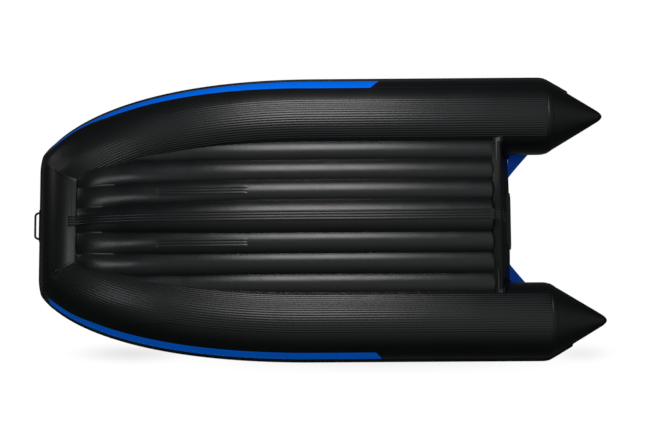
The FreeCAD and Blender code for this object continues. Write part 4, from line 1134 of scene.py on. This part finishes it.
clear_or(veil_tree, amount.outputs["Value"], dark)
print("shadow veil", len(SHADOWS), "spots")

# %% [markdown]
# ## Lamps
# The photograph shows the bottom lit, so the key light and two small lamps at the bow
# stand below the park floor. A large lamp above lights the inside for the other views,
# but isn't mirrored, because it would draw a white line along the tubes' edges.

# %% Lamps
def lamp(name, place, target, size, power, colour=(1, 1, 1)):
    """Rectangular soft lamp at a place, turned so that its own -Z points at the target."""
    data = bpy.data.lights.new(name, "AREA")
    data.shape = "RECTANGLE"
    data.size, data.size_y = size
    data.energy = power
    data.color = colour
    item = bpy.data.objects.new(name, data)
    item.location = place
    item.visible_camera = False
    item.rotation_euler = (Vector(target) - Vector(place)).to_track_quat("-Z", "Y").to_euler()
    bpy.context.scene.collection.objects.link(item)
    return item


lamps = [lamp("key_softbox", (0.12, 1.4, -1.69), (0, 0.1, 0.1), (1.25, 1.3), 37, (1.0, 0.965, 0.985)),
         lamp("bow_under_softbox", (1.85, -0.12, -1.05), (1.1, 0, 0.2), (0.45, 0.45), 2.0, (0.9, 1.0, 0.98)),
         lamp("bow_seam_softbox", (5.2, 1.5, -0.32), (1.54, 0.35, 0.25), (0.7, 0.5), 8, (1.0, 0.93, 0.92)),
         lamp("top_softbox", (1.5, -2.0, 5.5), (0, 0, 0), (4.0, 4.0), 260)]
lamps[-1].visible_glossy = False
print("lamps", len(lamps))

# %% [markdown]
# ## World
# The camera sees a white world. Gloss and shade see a dim one instead, which is brighter
# towards a broad window below the stern and a little overhead, as in a studio tent. A
# black hull is drawn almost wholly by such reflections, so their level matters most.

# %% World
WINDOW_WAY, WINDOW_POWER, WINDOW_LEVEL = (-0.33, 0.0, -0.94), 2.7, 0.62
STUDIO_FLOOR, ZENITH_LEVEL, ZENITH_POWER, AFT_FADE, AFT_LEAST = 0.03, 0.14, 6.0, 2.6, 0.05
STUDIO_TINT = (0.92, 1, 1, 1)
world = bpy.data.worlds.new("studio")
bpy.context.scene.world = world
world.use_nodes = True
w_nodes, w_links = world.node_tree.nodes, world.node_tree.links
backdrop = w_nodes["Background"]
backdrop.inputs["Color"].default_value = (1, 1, 1, 1)


def world_math(operation, first, second=None, third=None):
    """One arithmetic step of the world's strength."""
    step = w_nodes.new("ShaderNodeMath")
    step.operation = operation
    for place, value in zip(step.inputs, (first, second, third)):
        if isinstance(value, (int, float)):
            place.default_value = value
        elif value is not None:
            w_links.new(value, place)
    return step.outputs["Value"]


w_path, w_place = w_nodes.new("ShaderNodeLightPath"), w_nodes.new("ShaderNodeTexCoord")
facing = w_nodes.new("ShaderNodeVectorMath")
facing.operation = "DOT_PRODUCT"
facing.inputs[1].default_value = WINDOW_WAY
w_links.new(w_place.outputs["Generated"], facing.inputs[0])
window = world_math("POWER", world_math("MAXIMUM", facing.outputs["Value"], 0.0), WINDOW_POWER)
height = w_nodes.new("ShaderNodeSeparateXYZ")
w_links.new(w_place.outputs["Generated"], height.inputs[0])
ahead = world_math("MAXIMUM", world_math("MULTIPLY_ADD", height.outputs["X"], AFT_FADE, third=1.0), AFT_LEAST)
zenith = world_math("POWER", world_math("MAXIMUM", height.outputs["Z"], 0.0), ZENITH_POWER)
above = world_math("MULTIPLY", zenith, world_math("MINIMUM", ahead, 1.0))
above = world_math("MULTIPLY", above, ZENITH_LEVEL)
below = world_math("ADD", world_math("MULTIPLY", window, WINDOW_LEVEL), STUDIO_FLOOR)
seen = world_math("MAXIMUM", w_path.outputs["Is Camera Ray"], w_path.outputs["Is Transmission Ray"])
unseen = world_math("SUBTRACT", 1.0, seen)
level = world_math("ADD", world_math("MULTIPLY", unseen, world_math("ADD", below, above)), seen)
w_links.new(level, backdrop.inputs["Strength"])
cast = w_nodes.new("ShaderNodeMix")
cast.data_type = "RGBA"
cast.inputs[6].default_value, cast.inputs[7].default_value = STUDIO_TINT, (1, 1, 1, 1)
w_links.new(seen, cast.inputs[0])
w_links.new(cast.outputs[2], backdrop.inputs["Color"])
bpy.context.scene.view_settings.view_transform = "Standard"
print("world", len(w_nodes), "nodes")
